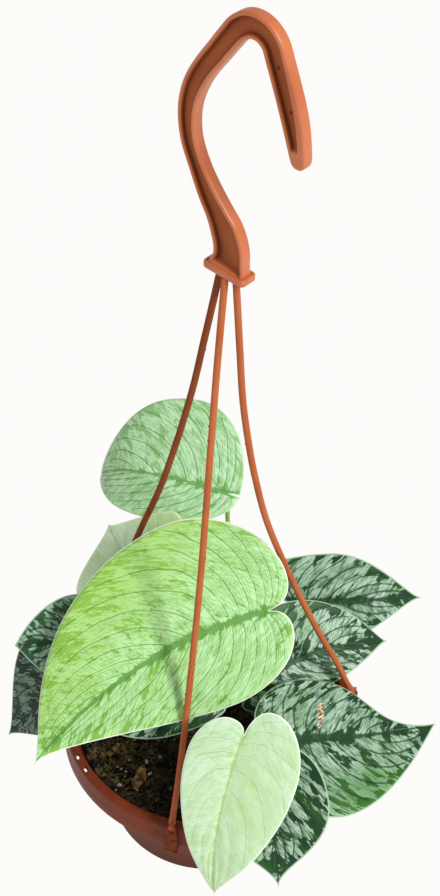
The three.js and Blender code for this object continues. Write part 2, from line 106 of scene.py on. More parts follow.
def curveThrough(points, count):
    # a smooth curve through the points, with as many steps between each two of them
    p = np.asarray(points, float)
    p = np.vstack([2 * p[0] - p[1], p, 2 * p[-1] - p[-2]])
    out = []
    spans = len(p) - 3
    for t in np.linspace(0, spans, count):
        i = min(int(t), spans - 1)
        f = t - i
        a, b, c, d = p[i:i + 4]
        k = [0.0]
        for m, n in ((a, b), (b, c), (c, d)):
            k.append(k[-1] + max(np.linalg.norm(n[:3] - m[:3]), 1e-6) ** 0.5)
        s = k[1] + f * (k[2] - k[1])
        ab = (k[1] - s) / (k[1] - k[0]) * a + (s - k[0]) / (k[1] - k[0]) * b
        bc = (k[2] - s) / (k[2] - k[1]) * b + (s - k[1]) / (k[2] - k[1]) * c
        cd = (k[3] - s) / (k[3] - k[2]) * c + (s - k[2]) / (k[3] - k[2]) * d
        abc = (k[2] - s) / (k[2] - k[0]) * ab + (s - k[0]) / (k[2] - k[0]) * bc
        bcd = (k[3] - s) / (k[3] - k[1]) * bc + (s - k[1]) / (k[3] - k[1]) * cd
        out.append((k[2] - s) / (k[2] - k[1]) * abc + (s - k[1]) / (k[2] - k[1]) * bcd)
    return np.array(out)


def ringsToSkin(rings):
    # joins rings with the same number of points into one closed skin: its points and faces
    sides = len(rings[0])
    faces = []
    for i in range(len(rings) - 1):
        a = i * sides
        for j in range(sides):
            k = (j + 1) % sides
            faces.append((a + j, a + k, a + sides + k, a + sides + j))
    last = (len(rings) - 1) * sides
    faces.append(tuple(range(sides - 1, -1, -1)))
    faces.append(tuple(last + j for j in range(sides)))
    return np.vstack(rings), faces


def tube(path, radii, sides):
    # a round skin along a path, without twist
    path = np.asarray(path, float)
    tangents = np.gradient(path, axis=0)
    tangents /= np.linalg.norm(tangents, axis=1)[:, None]
    normal = np.cross(tangents[0], [0.0, 0.0, 1.0])
    if np.linalg.norm(normal) < 0.05:
        normal = np.cross(tangents[0], [1.0, 0.0, 0.0])
    rings = []
    turns = np.arange(sides) * 2 * math.pi / sides
    for centre, tangent, radius in zip(path, tangents, radii):
        normal = normal - tangent * (normal @ tangent)
        normal = normal / np.linalg.norm(normal)
        side = np.cross(tangent, normal)
        rings.append(centre + radius * (np.outer(np.cos(turns), normal) + np.outer(np.sin(turns), side)))
    return ringsToSkin(rings)


def joined(parts):
    # several skins as one
    points, faces, start = [], [], 0
    for p, f in parts:
        points.append(p)
        faces += [tuple(i + start for i in face) for face in f]
        start += len(p)
    return np.vstack(points), faces


def smoothStep(x, low, high):
    t = np.clip((np.asarray(x, float) - low) / (high - low), 0, 1)
    return t * t * (3 - 2 * t)


def spin(points, turn):
    # turns points round the upright axis
    c, s = math.cos(turn), math.sin(turn)
    return np.asarray(points) @ np.array([[c, s, 0], [-s, c, 0], [0, 0, 1]])


def setShadeAndGrime(piece, amounts):
    # how much painted shade and grime darken each point of a moulded piece, from 0 to 1
    layer = piece.data.attributes.new("shadeAndGrime", "FLOAT", "POINT")
    layer.data.foreach_set("value", amounts)


# One entry a leaf, in mm and degrees. at: where the petiole joins the blade. aim: heading, climb and
# roll. half (width), lobe, shoulder, widest, run and tip: the outline's left and right sides. bend (even,
# late), fold, curl and sickle: the blade in space. veins: side veins on each half. petiole: its stem, how
# far up it starts, how it leaves and how it arrives. greener, brighter and browner: spots (along,
# across, reach, amount) with less silver, with a fresher green, and with a brown scar.
leaves = [
    {
        "name": "leaf_big_lime", "slot": "leaf_lime", "look": "lime", "seed": 1,
        "at": (26.2, -14.6, 93.1), "aim": (-171.4, -13.6, -44.8), "length": 130.2, "half": (37.5, 55.3),
        "lobe": (0.072, 0.093), "shoulder": (0.28, 0.25), "widest": (0.196, 0.345),
        "run": (0.421, 0.983), "tip": (0.121, 0.143), "bend": (-7.9, -10.3), "fold": (3.6, 4.5),
        "curl": -5.2, "sickle": 0.366, "petiole": ("stem_back", 0.85, (3, -5, 14), (5, 14, -24)),
        "quilt": 0.35, "ripple": 0.4, "veins": 18,
        "greener": [
            (0.6, -0.85, 0.13, 0.24), (0.75, -0.6, 0.12, 0.24), (0.45, -0.92, 0.1, 0.2),
            (0.86, -0.3, 0.08, 0.2), (0.7, 0.6, 0.12, 0.19), (0.82, 0.35, 0.1, 0.2),
            (0.5, 0.9, 0.1, 0.18), (0.28, 0.95, 0.12, 0.06), (0.05, -0.5, 0.25, -0.12),
            (0.08, 0.6, 0.2, -0.15), (0.25, -0.85, 0.15, -0.1),
        ],
        "brighter": [(0.6, -0.75, 0.28, 0.9), (0.85, -0.3, 0.2, 0.6), (0.35, -0.9, 0.2, 0.5)],
    },
    {
        "name": "leaf_back_high", "slot": "leaf_silver", "look": "silver", "seed": 2,
        "at": (5.7, 56, 99.7), "aim": (166.5, 7.6, -31.2), "length": 87.8, "half": (22.6, 42.4),
        "lobe": (0.058, 0.06), "shoulder": (0.027, 0.027), "widest": (0.388, 0.315),
        "run": (0.738, 0.669), "tip": (0.258, 0.25), "bend": (-23.9, -72), "fold": (1.9, 14.7),
        "curl": -21.7, "sickle": 0.04, "petiole": ("stem_back", 0.95, (-1, 6, 24), (2, 1, -30)),
        "veins": 14,
        "greener": [(0.7, -0.7, 0.25, 0.2), (0.45, -0.85, 0.2, 0.14), (0.3, 0.6, 0.12, -0.2)],
    },
    {
        "name": "leaf_back_low", "slot": "leaf_silver", "look": "sageLitThrough", "seed": 3,
        "at": (-32.5, 42.6, 45.6), "aim": (156.1, 35, -88.3), "length": 38, "half": (53, 48.6),
        "widest": (0.455, 0.516), "tip": (0.244, 0.193), "bend": (-7.8, -7.9), "fold": (3.7, 2.2),
        "curl": -9.4, "sickle": -0.189, "petiole": ("stem_back", 0.7, (-4, 8, 14), (12, 9, -14)),
        "brighter": [(0.58, -0.9, 0.25, 0.9)],
    },
    {
        "name": "leaf_right_top", "seed": 4, "at": (41.2, 52.2, 25.1), "aim": (-1.6, 7.4, 50.8),
        "length": 68.5, "half": (25.5, 22.1), "lobe": (0.19, 0.19), "shoulder": (0.725, 0.725),
        "widest": (0.312, 0.259), "tip": (0.155, 0.224), "bend": (-8.1, -5), "fold": (7.3, 3.9),
        "curl": -9.2, "sickle": -0.001, "petiole": ("stem_back", 0.5, (10, 6, 6), (-14, -4, -9)),
        "greener": [(0.5, 0, 0.6, -0.13)], "brighter": [(0.86, 0.7, 0.06, 1)],
    },
    {
        "name": "leaf_right_mid", "seed": 5, "at": (32.4, 11.8, 15.2), "aim": (35, 14.2, 43.9),
        "length": 62.8, "half": (31.5, 19.8), "lobe": (0.209, 0.369), "shoulder": (0.389, 0.259),
        "widest": (0.29, 0.218), "run": (0.87, 0.582), "tip": (0.156, 0.142), "bend": (-6.8, -7.1),
        "fold": (8.6, 3.3), "curl": -5.4, "sickle": -0.349,
        "petiole": ("stem_right", 0.93, (1, -4, 4), (-5, -2, -8)),
        "greener": [(0.5, 0, 0.6, 0.07), (0.25, 0.9, 0.2, 0.16), (0.6, -0.9, 0.2, 0.16)],
        "brighter": [(0.15, 1, 0.25, 0.9)],
        "browner": [(0.6, -0.3, 0.045, 0.4), (0.61, -0.5, 0.04, 0.4), (0.6, -0.1, 0.03, 0.36)],
    },
    {
        "name": "leaf_right_low", "seed": 6, "at": (37.4, -31.7, 18), "aim": (12.2, -13.1, 12.5),
        "length": 82, "half": (34.2, 41), "lobe": (0.172, 0.172), "shoulder": (0.239, 0.239),
        "widest": (0.206, 0.274), "tip": (0.578, 0.052), "bend": (3.5, 6.6), "fold": (2.2, 2.5),
        "curl": -12.1, "sickle": 0.089, "petiole": ("stem_right", 0.73, (-5, -16, -1), (-11, 12, -16)),
        "veins": 13, "greener": [(0.66, -0.7, 0.13, 0.14), (0.4, -0.8, 0.12, 0.1)],
        "brighter": [(0.6, -0.75, 0.22, 1), (0.4, -0.88, 0.2, 0.8)],
        "browner": [
            (0.235, 0.13, 0.024, 0.52), (0.242, 0.19, 0.024, 0.52), (0.249, 0.25, 0.024, 0.52),
            (0.256, 0.31, 0.03, 0.6), (0.263, 0.37, 0.03, 0.6), (0.269, 0.43, 0.03, 0.6),
            (0.276, 0.49, 0.03, 0.6), (0.282, 0.54, 0.03, 0.6),
        ],
    },
    {
        "name": "leaf_front_pale", "slot": "leaf_cream", "look": "cream", "seed": 7,
        "at": (16.3, -68.4, 67.4), "aim": (-121.3, -57.3, -14.4), "length": 96.1, "half": (30.8, 22.6),
        "lobe": (0.161, 0.063), "shoulder": (0.342, 0.342), "widest": (0.161, 0.176),
        "tip": (0.136, 0.132), "bend": (-15.8, -24.9), "fold": (2.7, 10.2), "curl": -11.1,
        "sickle": 0.119, "petiole": ("stem_front", 0.95, (-2, 1, 18), (-4, 12, -20)), "veins": 10,
        "brighter": [(0.3, 0.5, 0.3, 0.6), (0.75, 0, 0.2, 0.4)],
    },
    {
        "name": "leaf_front_dark", "seed": 8, "at": (30.2, -58.8, 38.8), "aim": (-79.4, -60.6, 20.1),
        "length": 69.6, "half": (27.9, 32.2), "lobe": (0.086, 0.086), "shoulder": (0.384, 0.384),
        "widest": (0.314, 0.32), "tip": (0.278, 0.283), "bend": (-1.7, -5.4), "fold": (8.9, 7),
        "curl": -2.2, "sickle": 0.002, "petiole": ("stem_front", 0.7, (6, -4, 12), (-5, 8, -10)),
        "greener": [
            (0.22, 0.75, 0.18, 0.28), (0.45, 0.88, 0.18, 0.28), (0.67, 0.6, 0.12, 0.22),
            (0.5, 0.1, 0.5, 0.07),
        ],
    },
    {
        "name": "leaf_left_top", "seed": 9, "at": (-50.7, -8.4, 62.3), "aim": (-171.2, -0.7, -37.7),
        "length": 48.5, "half": (22.2, 21.9), "shoulder": (0.481, 0.481), "widest": (0.293, 0.29),
        "tip": (0.139, 0.121), "bend": (-17.5, -27.3), "fold": (5.5, 11), "curl": -9, "sickle": -0.002,
        "petiole": ("stem_left", 0.95, (-3, -2, 14), (10, 4, -16)), "greener": [(0.7, -0.5, 0.2, 0.06)],
        "own": {
            "silver": "#6D9178", "silverPale": "#A3C2A8", "tint": "#7AA46B", "deep": "#2F5638",
            "deepBright": "#43763A",
        },
    },
    {
        "name": "leaf_left_low", "look": "shade", "seed": 10, "at": (-63.8, -8.7, 39.2),
        "aim": (-167.4, -46.9, -37.3), "length": 60.4, "half": (24.3, 32.3), "widest": (0.248, 0.234),
        "tip": (0.2, 0.205), "bend": (-2.9, -2.7), "fold": (5.7, -3.7), "curl": -8.7, "sickle": 0.033,
        "petiole": ("stem_left", 0.65, (-8, -2, 10), (9, 6, -5)),
    },
    {
        "name": "leaf_under", "seed": 11, "at": (-2.8, -26.3, 38.7), "aim": (-161.4, -3.7, -42),
        "length": 59.6, "half": (12.8, 18.4), "widest": (0.333, 0.333), "tip": (0.139, 0.139),
        "bend": (-25.2, -46.3), "fold": (10.8, 6), "curl": -7.3, "sickle": -0.004,
        "petiole": ("stem_front", 0.8, (-3, 2, 12), (4, 1, -14)),
    },
]

# what most of the leaves share
plainLeaf = {
    "slot": "leaf_dark", "look": "dark", "veins": 12, "quilt": 0.3, "ripple": 0.3, "lobe": (0.16, 0.16),
    "shoulder": (0.48, 0.48), "run": (0.5, 0.5), "greener": [], "brighter": [], "browner": [],
    "own": {},
}

# Pearly colours of each kind of blade: silver is the reflective patch, deep the green between. share: how
# much of it is silver. Reaches, cells, widths and netSize are in mm.
leafLooks = {
    "lime": {
        "silver": "#9ACE7E", "silverPale": "#BDE8AA", "tint": "#A6D26E", "deep": "#80B54D",
        "deepBright": "#8CBE46", "vein": "#4F8A3C", "midrib": "#569334", "margin": "#F2F7E8",
        "under": "#A4CB86", "share": 0.74, "leastShare": 0.42, "edgeGreen": 0.12, "edgeReach": 12.0,
        "midribGreen": 0.1, "midribReach": 3.3, "cellAcross": 3.2, "cellAlong": 4.6, "midribWidth": 2.6,
        "midribStrength": 0.85, "veinStrength": 0.8, "veinWidth": 0.25, "fineVeins": 0.5, "net": 0.6,
        "netSize": 2.5, "marginWidth": 0.45, "shine": 0.42,
    },
    "silver": {
        "silver": "#9CCB93", "silverPale": "#C1E4B8", "tint": "#A3CD8F", "deep": "#8CBC7A",
        "deepBright": "#92C07A", "vein": "#558A4A", "midrib": "#5E9A46", "margin": "#C9E3BF",
        "under": "#97B88A", "share": 0.74, "leastShare": 0.4, "edgeGreen": 0.08, "edgeReach": 12.0,
        "midribGreen": 0.1, "midribReach": 5.0, "cellAcross": 2.9, "cellAlong": 4.4, "midribWidth": 2.2,
        "midribStrength": 0.85, "veinStrength": 0.8, "veinWidth": 0.32, "fineVeins": 0.6, "net": 0.5,
        "netSize": 2.2, "marginWidth": 0.45, "shine": 0.42,
    },
    # this look: a pale young leaf, made paler still as painted light for the light that shines through it
    "sageLitThrough": {
        "silver": "#D6F0C8", "silverPale": "#DFF5D5", "tint": "#D0EDAE", "deep": "#CDEABD",
        "deepBright": "#C8EA9A", "vein": "#A0C090", "midrib": "#A2C788", "margin": "#DFEDD6",
        "under": "#A9C798", "share": 0.6, "leastShare": 0.4, "edgeGreen": 0.1, "edgeReach": 8.0,
        "midribGreen": 0.1, "midribReach": 4.0, "cellAcross": 4.0, "cellAlong": 5.0, "midribWidth": 1.6,
        "midribStrength": 0.4, "veinStrength": 0.25, "veinWidth": 0.3, "fineVeins": 0.3, "net": 0.2,
        "netSize": 2.0, "marginWidth": 0.45, "shine": 0.42,
    },
    "cream": {
        "silver": "#B6D7A9", "silverPale": "#CCE5C4", "tint": "#B9D598", "deep": "#ADCF95",
        "deepBright": "#B4D485", "vein": "#8BB27A", "midrib": "#94BE5E", "margin": "#F2F8EC",
        "under": "#B0CE9E", "share": 0.86, "leastShare": 0.6, "edgeGreen": 0.04, "edgeReach": 8.0,
        "midribGreen": 0.0, "midribReach": 4.0, "cellAcross": 4.0, "cellAlong": 5.5, "midribWidth": 1.1,
        "midribStrength": 0.65, "veinStrength": 0.55, "veinWidth": 0.2, "fineVeins": 0.3, "net": 0.2,
        "netSize": 1.8, "marginWidth": 0.45, "shine": 0.42,
    },
    "dark": {
        "silver": "#577C61", "silverPale": "#AECBB1", "tint": "#67955A", "deep": "#1A4023",
        "deepBright": "#32691D", "vein": "#1B3A23", "midrib": "#1E4526", "margin": "#A3BD9C",
        "under": "#527A55", "share": 0.66, "leastShare": 0.36, "edgeGreen": 0.28, "edgeReach": 7.0,
        "midribGreen": 0.2, "midribReach": 6.0, "cellAcross": 3.7, "cellAlong": 5.4, "midribWidth": 5.2,
        "midribStrength": 0.92, "marginWidth": 0.62, "shine": 0.24, "veinStrength": 0.82,
        "veinWidth": 0.66, "fineVeins": 0.4, "net": 0.25, "netSize": 2.2,
    },
    "shade": {
        "silver": "#4B6656", "silverPale": "#84A08D", "tint": "#5A7E5C", "deep": "#18301F",
        "deepBright": "#2C5A24", "vein": "#12281B", "midrib": "#18361F", "margin": "#8CA287",
        "under": "#446248", "share": 0.58, "leastShare": 0.34, "edgeGreen": 0.2, "edgeReach": 6.0,
        "midribGreen": 0.15, "midribReach": 4.0, "cellAcross": 2.9, "cellAlong": 4.6,
        "midribWidth": 4.0, "midribStrength": 0.85, "veinStrength": 0.85, "veinWidth": 0.38,
        "fineVeins": 0.5, "net": 0.2, "netSize": 2.2, "marginWidth": 0.45, "shine": 0.42,
    },
}

# The blade's mesh and relief, in mm.
blade = {
    "rows": 112, "halfColumns": 20, "thickness": 0.62, "edgeThickness": 0.35,
    "rowGather": 1.12, "columnGather": 0.9,  # rows lie closer at the petiole, columns at the margin
    "veinSweep": 0.2,  # how far a vein bends towards the tip on its way out
    "groove": 0.5, "grooveWidth": 1.1, "grooveFade": 0.6,  # the midrib is sunk above, less so at the tip
    "keel": 0.9, "keelWidth": 0.9, "keelFade": 0.7,  # and stands out below
    "fineVeinsPerGap": 4.0,
}


def bezier(points, t):
    t = np.asarray(t, float)[:, None]
    a, b, c, d = [np.array(p, float) for p in points]
    return (1 - t) ** 3 * a + 3 * (1 - t) ** 2 * t * b + 3 * (1 - t) * t ** 2 * c + t ** 3 * d


def outlineAt(leaf, side, share):
    length, half = leaf["length"], leaf["half"][side]
    back = -leaf["lobe"][side] * length
    shoulder = leaf["shoulder"][side] * half
    widest = leaf["widest"][side] * length
    q = np.asarray(share, float) * 16  # 3 parts for the lobe, 5 for the cheek, 8 to the tip
    lobe = bezier([(0, 0), (0.55 * back, 0.02 * half), (back, 0.35 * shoulder), (back, shoulder)], q / 3)
    cheek = bezier(
        [(back, shoulder), (back, shoulder + 0.52 * (half - shoulder)),
         (widest - 0.52 * (widest - back), half), (widest, half)], (q - 3) / 5)
    front = bezier(
        [(widest, half), (widest + leaf["run"][side] * (length - widest), half),
         (length - leaf["tip"][side] * (length - widest), 0.04 * half), (length, 0)], (q - 8) / 8)
    return np.where((q < 3)[:, None], lobe, np.where((q < 8)[:, None], cheek, front))


def midribAt(leaf, u):
    # place and slope of the bent midrib, u mm from the petiole
    even, late = [math.radians(a) for a in leaf["bend"]]
    s = np.linspace(0, 1.05, 421)
    slope = even * s + late * s ** 3
    step = s[1] * leaf["length"]
    x = np.concatenate([[0], np.cumsum((np.cos(slope[1:]) + np.cos(slope[:-1])) / 2 * step)])
    z = np.concatenate([[0], np.cumsum((np.sin(slope[1:]) + np.sin(slope[:-1])) / 2 * step)])
    share = np.clip(u, 0, None) / leaf["length"]
    slopeHere = even * share + late * share ** 3
    return np.interp(share, s, x) + np.minimum(u, 0), np.interp(share, s, z), slopeHere


def leafAxes(leaf):
    heading, climb, roll = [math.radians(a) for a in leaf["aim"]]
    flatShare = math.cos(climb)
    along = np.array([flatShare * math.cos(heading), flatShare * math.sin(heading), math.sin(climb)])
    level = np.array([-math.sin(heading), math.cos(heading), 0.0])
    up = np.cross(along, level)
    left = math.cos(roll) * level + math.sin(roll) * up
    normal = math.cos(roll) * up - math.sin(roll) * level
    return along, left, normal


def bladePoint(leaf, u, v):
    # the blade's middle surface at a place (u, v) of the flat leaf
    side = np.where(v >= 0, 0, 1)
    away = np.abs(v)
    fold = np.radians(np.array(leaf["fold"]))[side]
    turn = math.radians(leaf["curl"]) / np.array(leaf["half"])[side]
    rise = (np.cos(fold) - np.cos(fold + turn * away)) / turn
    reach = (np.sin(fold + turn * away) - np.sin(fold)) / turn
    x, z, slope = midribAt(leaf, u)
    length = leaf["length"]
    across = np.where(v >= 0, reach, -reach) + leaf["sickle"] * length * (np.clip(u, 0, None) / length) ** 2
    along, left, normal = leafAxes(leaf)
    return (np.array(leaf["at"]) + (x - np.sin(slope) * rise)[:, None] * along
            + across[:, None] * left + (z + np.cos(slope) * rise)[:, None] * normal)


def spotAmount(entries, u, v):
    total = np.zeros_like(u)
    for along, across, reach, amount in entries:
        total += amount * np.exp(-((u - along) ** 2 + (0.6 * (v - across)) ** 2) / reach ** 2)
    return total


def makeBlade(leaf):
    rows, half = blade["rows"], blade["halfColumns"]
    length = leaf["length"]
    share = np.linspace(0, 1, rows + 1) ** blade["rowGather"]
    middle = length * (0.994 * share ** 2.2 + 0.006 * np.minimum(1, share * 16))
    middle[0] = 0
    part = np.linspace(-1, 1, 2 * half + 1)  # right margin to left margin
    part = np.sign(part) * np.abs(part) ** blade["columnGather"]
    edges = [outlineAt(leaf, 1, share), outlineAt(leaf, 0, share)]
    u = np.zeros((rows + 1, len(part)))
    v = np.zeros_like(u)
    for j, p in enumerate(part):
        side = 1 if p >= 0 else 0
        u[:, j] = middle + abs(p) * (edges[side][:, 0] - middle)
        v[:, j] = p * edges[side][:, 1]
    shares = np.repeat(share[:, None], len(part), 1)
    parts = np.repeat(part[None, :], rows + 1, 0)
    index = leaf["veins"] * (shares ** 0.9 - blade["veinSweep"] * np.abs(parts) ** 1.5)

    # how many mm lie between two side veins here
    uRow, uColumn = np.gradient(u)
    vRow, vColumn = np.gradient(v)
    iRow, iColumn = np.gradient(index)
    area = uRow * vColumn - uColumn * vRow
    area = np.where(np.abs(area) < 1e-4, 1e-4, area)
    steepU = (iRow * vColumn - iColumn * vRow) / area
    steepV = (iColumn * uRow - iRow * uColumn) / area
    spacing = 1 / np.clip(np.hypot(steepU, steepV), 0.02, 20).ravel()
    flatU, flatV, flatIndex, flatPart = [a.ravel() for a in (u, v, index, parts)]
    width = np.where(flatV >= 0, leaf["half"][0], leaf["half"][1])

    # distances in mm: to the midrib and to the margin
    toMidrib = np.abs(flatV)
    edgeLine = np.vstack([edges[1], (edges[0] * [1, -1])[::-1]])
    toEdge = np.full(len(flatU), 1e9)
    for k in range(len(edgeLine) - 1):
        a, b = edgeLine[k], edgeLine[k + 1]
        d = b - a
        size = d @ d
        if size < 1e-9:
            continue
        t = np.clip(((flatU - a[0]) * d[0] + (flatV - a[1]) * d[1]) / size, 0, 1)
        toEdge = np.minimum(toEdge, np.hypot(flatU - a[0] - t * d[0], flatV - a[1] - t * d[1]))

    step = 0.4
    alongVec = bladePoint(leaf, flatU + step, flatV) - bladePoint(leaf, flatU - step, flatV)
    acrossVec = bladePoint(leaf, flatU, flatV + step) - bladePoint(leaf, flatU, flatV - step)
    normal = np.cross(alongVec, acrossVec)
    normal /= np.linalg.norm(normal, axis=1)[:, None]
    place = bladePoint(leaf, flatU, flatV)

    # relief: sunk midrib, quilting between the side veins, a faint ripple near the margin
    alongLeaf = np.clip(flatU / length, 0, 1)
    fade = smoothStep(toEdge, 0, 5) * smoothStep(np.abs(flatPart), 0.02, 0.25)
    quilt = leaf["quilt"] * (0.5 - 0.5 * np.cos(2 * math.pi * flatIndex)) * fade
    ripple = leaf["ripple"] * smoothStep(np.abs(flatPart), 0.5, 1) * np.sin(flatU * 0.19 + 2.1 * leaf["seed"])
    groove = blade["groove"] * np.exp(-(toMidrib / blade["grooveWidth"]) ** 2)
    groove *= 1 - blade["grooveFade"] * alongLeaf
    edgeShare = blade["edgeThickness"]
    thick = blade["thickness"] / 2 * (edgeShare + (1 - edgeShare) * smoothStep(toEdge, 0, 1.2))
    keel = blade["keel"] * np.exp(-(toMidrib / blade["keelWidth"]) ** 2)
    keel *= (1 - blade["keelFade"] * alongLeaf) * smoothStep(toEdge, 0, 4)
    top = place + normal * (thick + quilt + ripple - groove)[:, None]
    bottom = place + normal * (-thick + quilt + ripple - keel)[:, None]

    columns = len(part)

    def at(i, j):
        return 0 if i == 0 else (1 + (rows - 1) * columns if i == rows else 1 + (i - 1) * columns + j)

    count = 2 + (rows - 1) * columns
    keep = np.concatenate([[half], np.arange(columns, rows * columns), [rows * columns + half]])
    upper = []
    for i in range(rows):
        for j in range(columns - 1):
            corners = [at(i, j), at(i + 1, j), at(i + 1, j + 1), at(i, j + 1)]
            ring = [c for k, c in enumerate(corners) if c != corners[k - 1]]
            if len(ring) > 2:
                upper.append(tuple(ring))
    rim = [at(i, 0) for i in range(rows + 1)] + [at(i, columns - 1) for i in range(rows - 1, 0, -1)]
    faces = upper + [tuple(c + count for c in reversed(face)) for face in upper]
    rimFaces = [(b, a, a + count, b + count) for a, b in zip(rim, rim[1:] + rim[:1])]
    points = np.vstack([top[keep], bottom[keep]])
    values = {
        "flatPlace": np.stack([flatU - 0.6 * np.abs(flatV) - 0.012 * flatV ** 2, flatV,
                               np.full(len(flatU), leaf["seed"] * 5.1)], 1)[keep],
        "veinPlace": np.stack([flatIndex, flatPart * width, spacing], 1)[keep],
        "distances": np.stack([toEdge, toMidrib * 85 / length, flatU / length], 1)[keep],
        "spots": np.stack([spotAmount(leaf[kind], flatU / length, flatV / width)
                           for kind in ("greener", "brighter", "browner")], 1)[keep],
    }
    return points, faces, rimFaces, values, len(upper)


def leafMaterial(name, look):
    # living leaf under a waxy skin: satin, with soft broad highlights and silver patches between green cells
    material, tree, shader = newMaterial(name, Roughness=0.46, IOR=1.45, Specular_IOR_Level=look["shine"],
                                         Sheen_Weight=0.03)
    flat = add(tree, "Attribute", {}, "Vector", attribute_name="flatPlace")
    parts = {}
    for attribute in ("veinPlace", "distances", "spots"):
        vector = add(tree, "Attribute", {}, "Vector", attribute_name=attribute)
        parts[attribute] = add(tree, "SeparateXYZ", {"Vector": vector}).outputs
    veinIndex, veinGap = parts["veinPlace"]["X"], parts["veinPlace"]["Z"]
    toEdge, toMidrib, alongLeaf = parts["distances"]["X"], parts["distances"]["Y"], parts["distances"]["Z"]
    greener, brighter, browner = parts["spots"]["X"], parts["spots"]["Y"], parts["spots"]["Z"]

    # cells lie along the side veins, a few mm long; streaks are 0.9 mm wide and 3.2 mm long
    cellPlace = add(tree, "VectorMath", {0: flat, 1: (1 / look["cellAcross"], 1 / look["cellAlong"], 1.0)}, 0,
                    operation="MULTIPLY")
    streakPlace = add(tree, "VectorMath", {0: flat, 1: (1 / 0.9, 1 / 3.2, 1.0)}, 0, operation="MULTIPLY")
    wobble = add(tree, "TexNoise", {"Vector": cellPlace, "Scale": 1.3, "Detail": 2.0}, "Color")
    sway = add(tree, "VectorMath", {0: wobble, 1: (1.1, 0.8, 0.0)}, 0, operation="MULTIPLY")
    shifted = add(tree, "VectorMath", {0: cellPlace, 1: sway}, 0, operation="ADD")
    cells = add(tree, "TexVoronoi", {"Vector": shifted, "Scale": 1.0, "Randomness": 0.95}, "Color")
    small = add(tree, "TexVoronoi", {"Vector": shifted, "Scale": 2.1, "Randomness": 1.0}, "Color")
    cell = add(tree, "SeparateColor", {"Color": cells}, 0)
    smallCell = add(tree, "SeparateColor", {"Color": small}, 1)
    cloud = add(tree, "TexNoise", {"Vector": cellPlace, "Scale": 0.3, "Detail": 2.0}, "Fac")
    streak = add(tree, "TexNoise", {"Vector": streakPlace, "Scale": 1.0, "Detail": 4.0}, "Fac")
    net = add(tree, "TexVoronoi", {"Vector": flat, "Scale": 1 / look["netSize"], "Randomness": 0.9},
              "Distance", feature="DISTANCE_TO_EDGE")
    scar = add(tree, "TexNoise", {"Vector": flat, "Scale": 0.9, "Detail": 5.0}, "Fac")

    # soft masks: the value read, where the mask is empty and where it is full
    soft = {}
    for mask, value, empty, full in (
            ("cloud", cloud, 0.3, 0.7), ("streak", streak, 0.3, 0.7),
            ("nearEdge", toEdge, look["edgeReach"], 0.5), ("nearMidrib", toMidrib, look["midribReach"], 0.5),
            ("tint", cloud, 0.42, 0.68), ("net", net, 0.09, 0.0), ("netArea", cloud, 0.35, 0.6),
            ("inside", toEdge, 0.8, 4.0), ("broken", streak, 0.36, 0.6),
            ("margin", toEdge, look["marginWidth"] + 0.15, look["marginWidth"] - 0.15),
            ("scarPale", scar, 0.45, 0.56)):
        soft[mask] = add(tree, "MapRange", {"Value": value, "From Min": empty, "From Max": full}, 0,
                         interpolation_type="SMOOTHSTEP")
    chance = 0.0
    for value, weight in ((cell, 0.54), (smallCell, 0.26), (soft["cloud"], 0.14), (soft["streak"], 0.06)):
        chance = add(tree, "Math", {0: value, 1: weight, 2: chance}, 0, operation="MULTIPLY_ADD")
    mottle = 0.0
    for value, weight in ((cell, 0.3), (smallCell, 0.2), (soft["streak"], 0.5)):
        mottle = add(tree, "Math", {0: value, 1: weight, 2: mottle}, 0, operation="MULTIPLY_ADD")

    # less silver towards the margin, along the midrib and at the greener spots
    less = greener
    for mask, amount in (("nearEdge", "edgeGreen"), ("nearMidrib", "midribGreen")):
        less = add(tree, "Math", {0: soft[mask], 1: look[amount], 2: less}, 0, operation="MULTIPLY_ADD")
    limit = add(tree, "Math", {0: look["share"], 1: less}, 0, operation="SUBTRACT")
    limit = add(tree, "Math", {0: limit, 1: look["leastShare"]}, 0, operation="MAXIMUM")
    spare = add(tree, "Math", {0: limit, 1: chance}, 0, operation="SUBTRACT")
    silverHere = add(tree, "MapRange", {"Value": spare, "From Min": -0.025, "From Max": 0.03}, 0,
                     interpolation_type="SMOOTHSTEP")

    deepening = add(tree, "MapRange", {"Value": mottle, "From Min": 0.22, "From Max": 0.78}, 0,
                    interpolation_type="SMOOTHSTEP")
    silver = add(tree, "Mix", {0: deepening, 6: look["silverPale"], 7: look["silver"]}, 2, data_type="RGBA")
    tinted = add(tree, "Math", {0: soft["tint"], 1: 0.5, 2: brighter}, 0, operation="MULTIPLY_ADD",
                 use_clamp=True)
    tintShare = add(tree, "Math", {0: tinted, 1: 0.8}, 0, operation="MULTIPLY")
    silver = add(tree, "Mix", {0: tintShare, 6: silver, 7: look["tint"]}, 2, data_type="RGBA")
    deep = add(tree, "Mix", {0: tinted, 6: look["deep"], 7: look["deepBright"]}, 2, data_type="RGBA")
    color = add(tree, "Mix", {0: silverHere, 6: deep, 7: silver}, 2, data_type="RGBA")

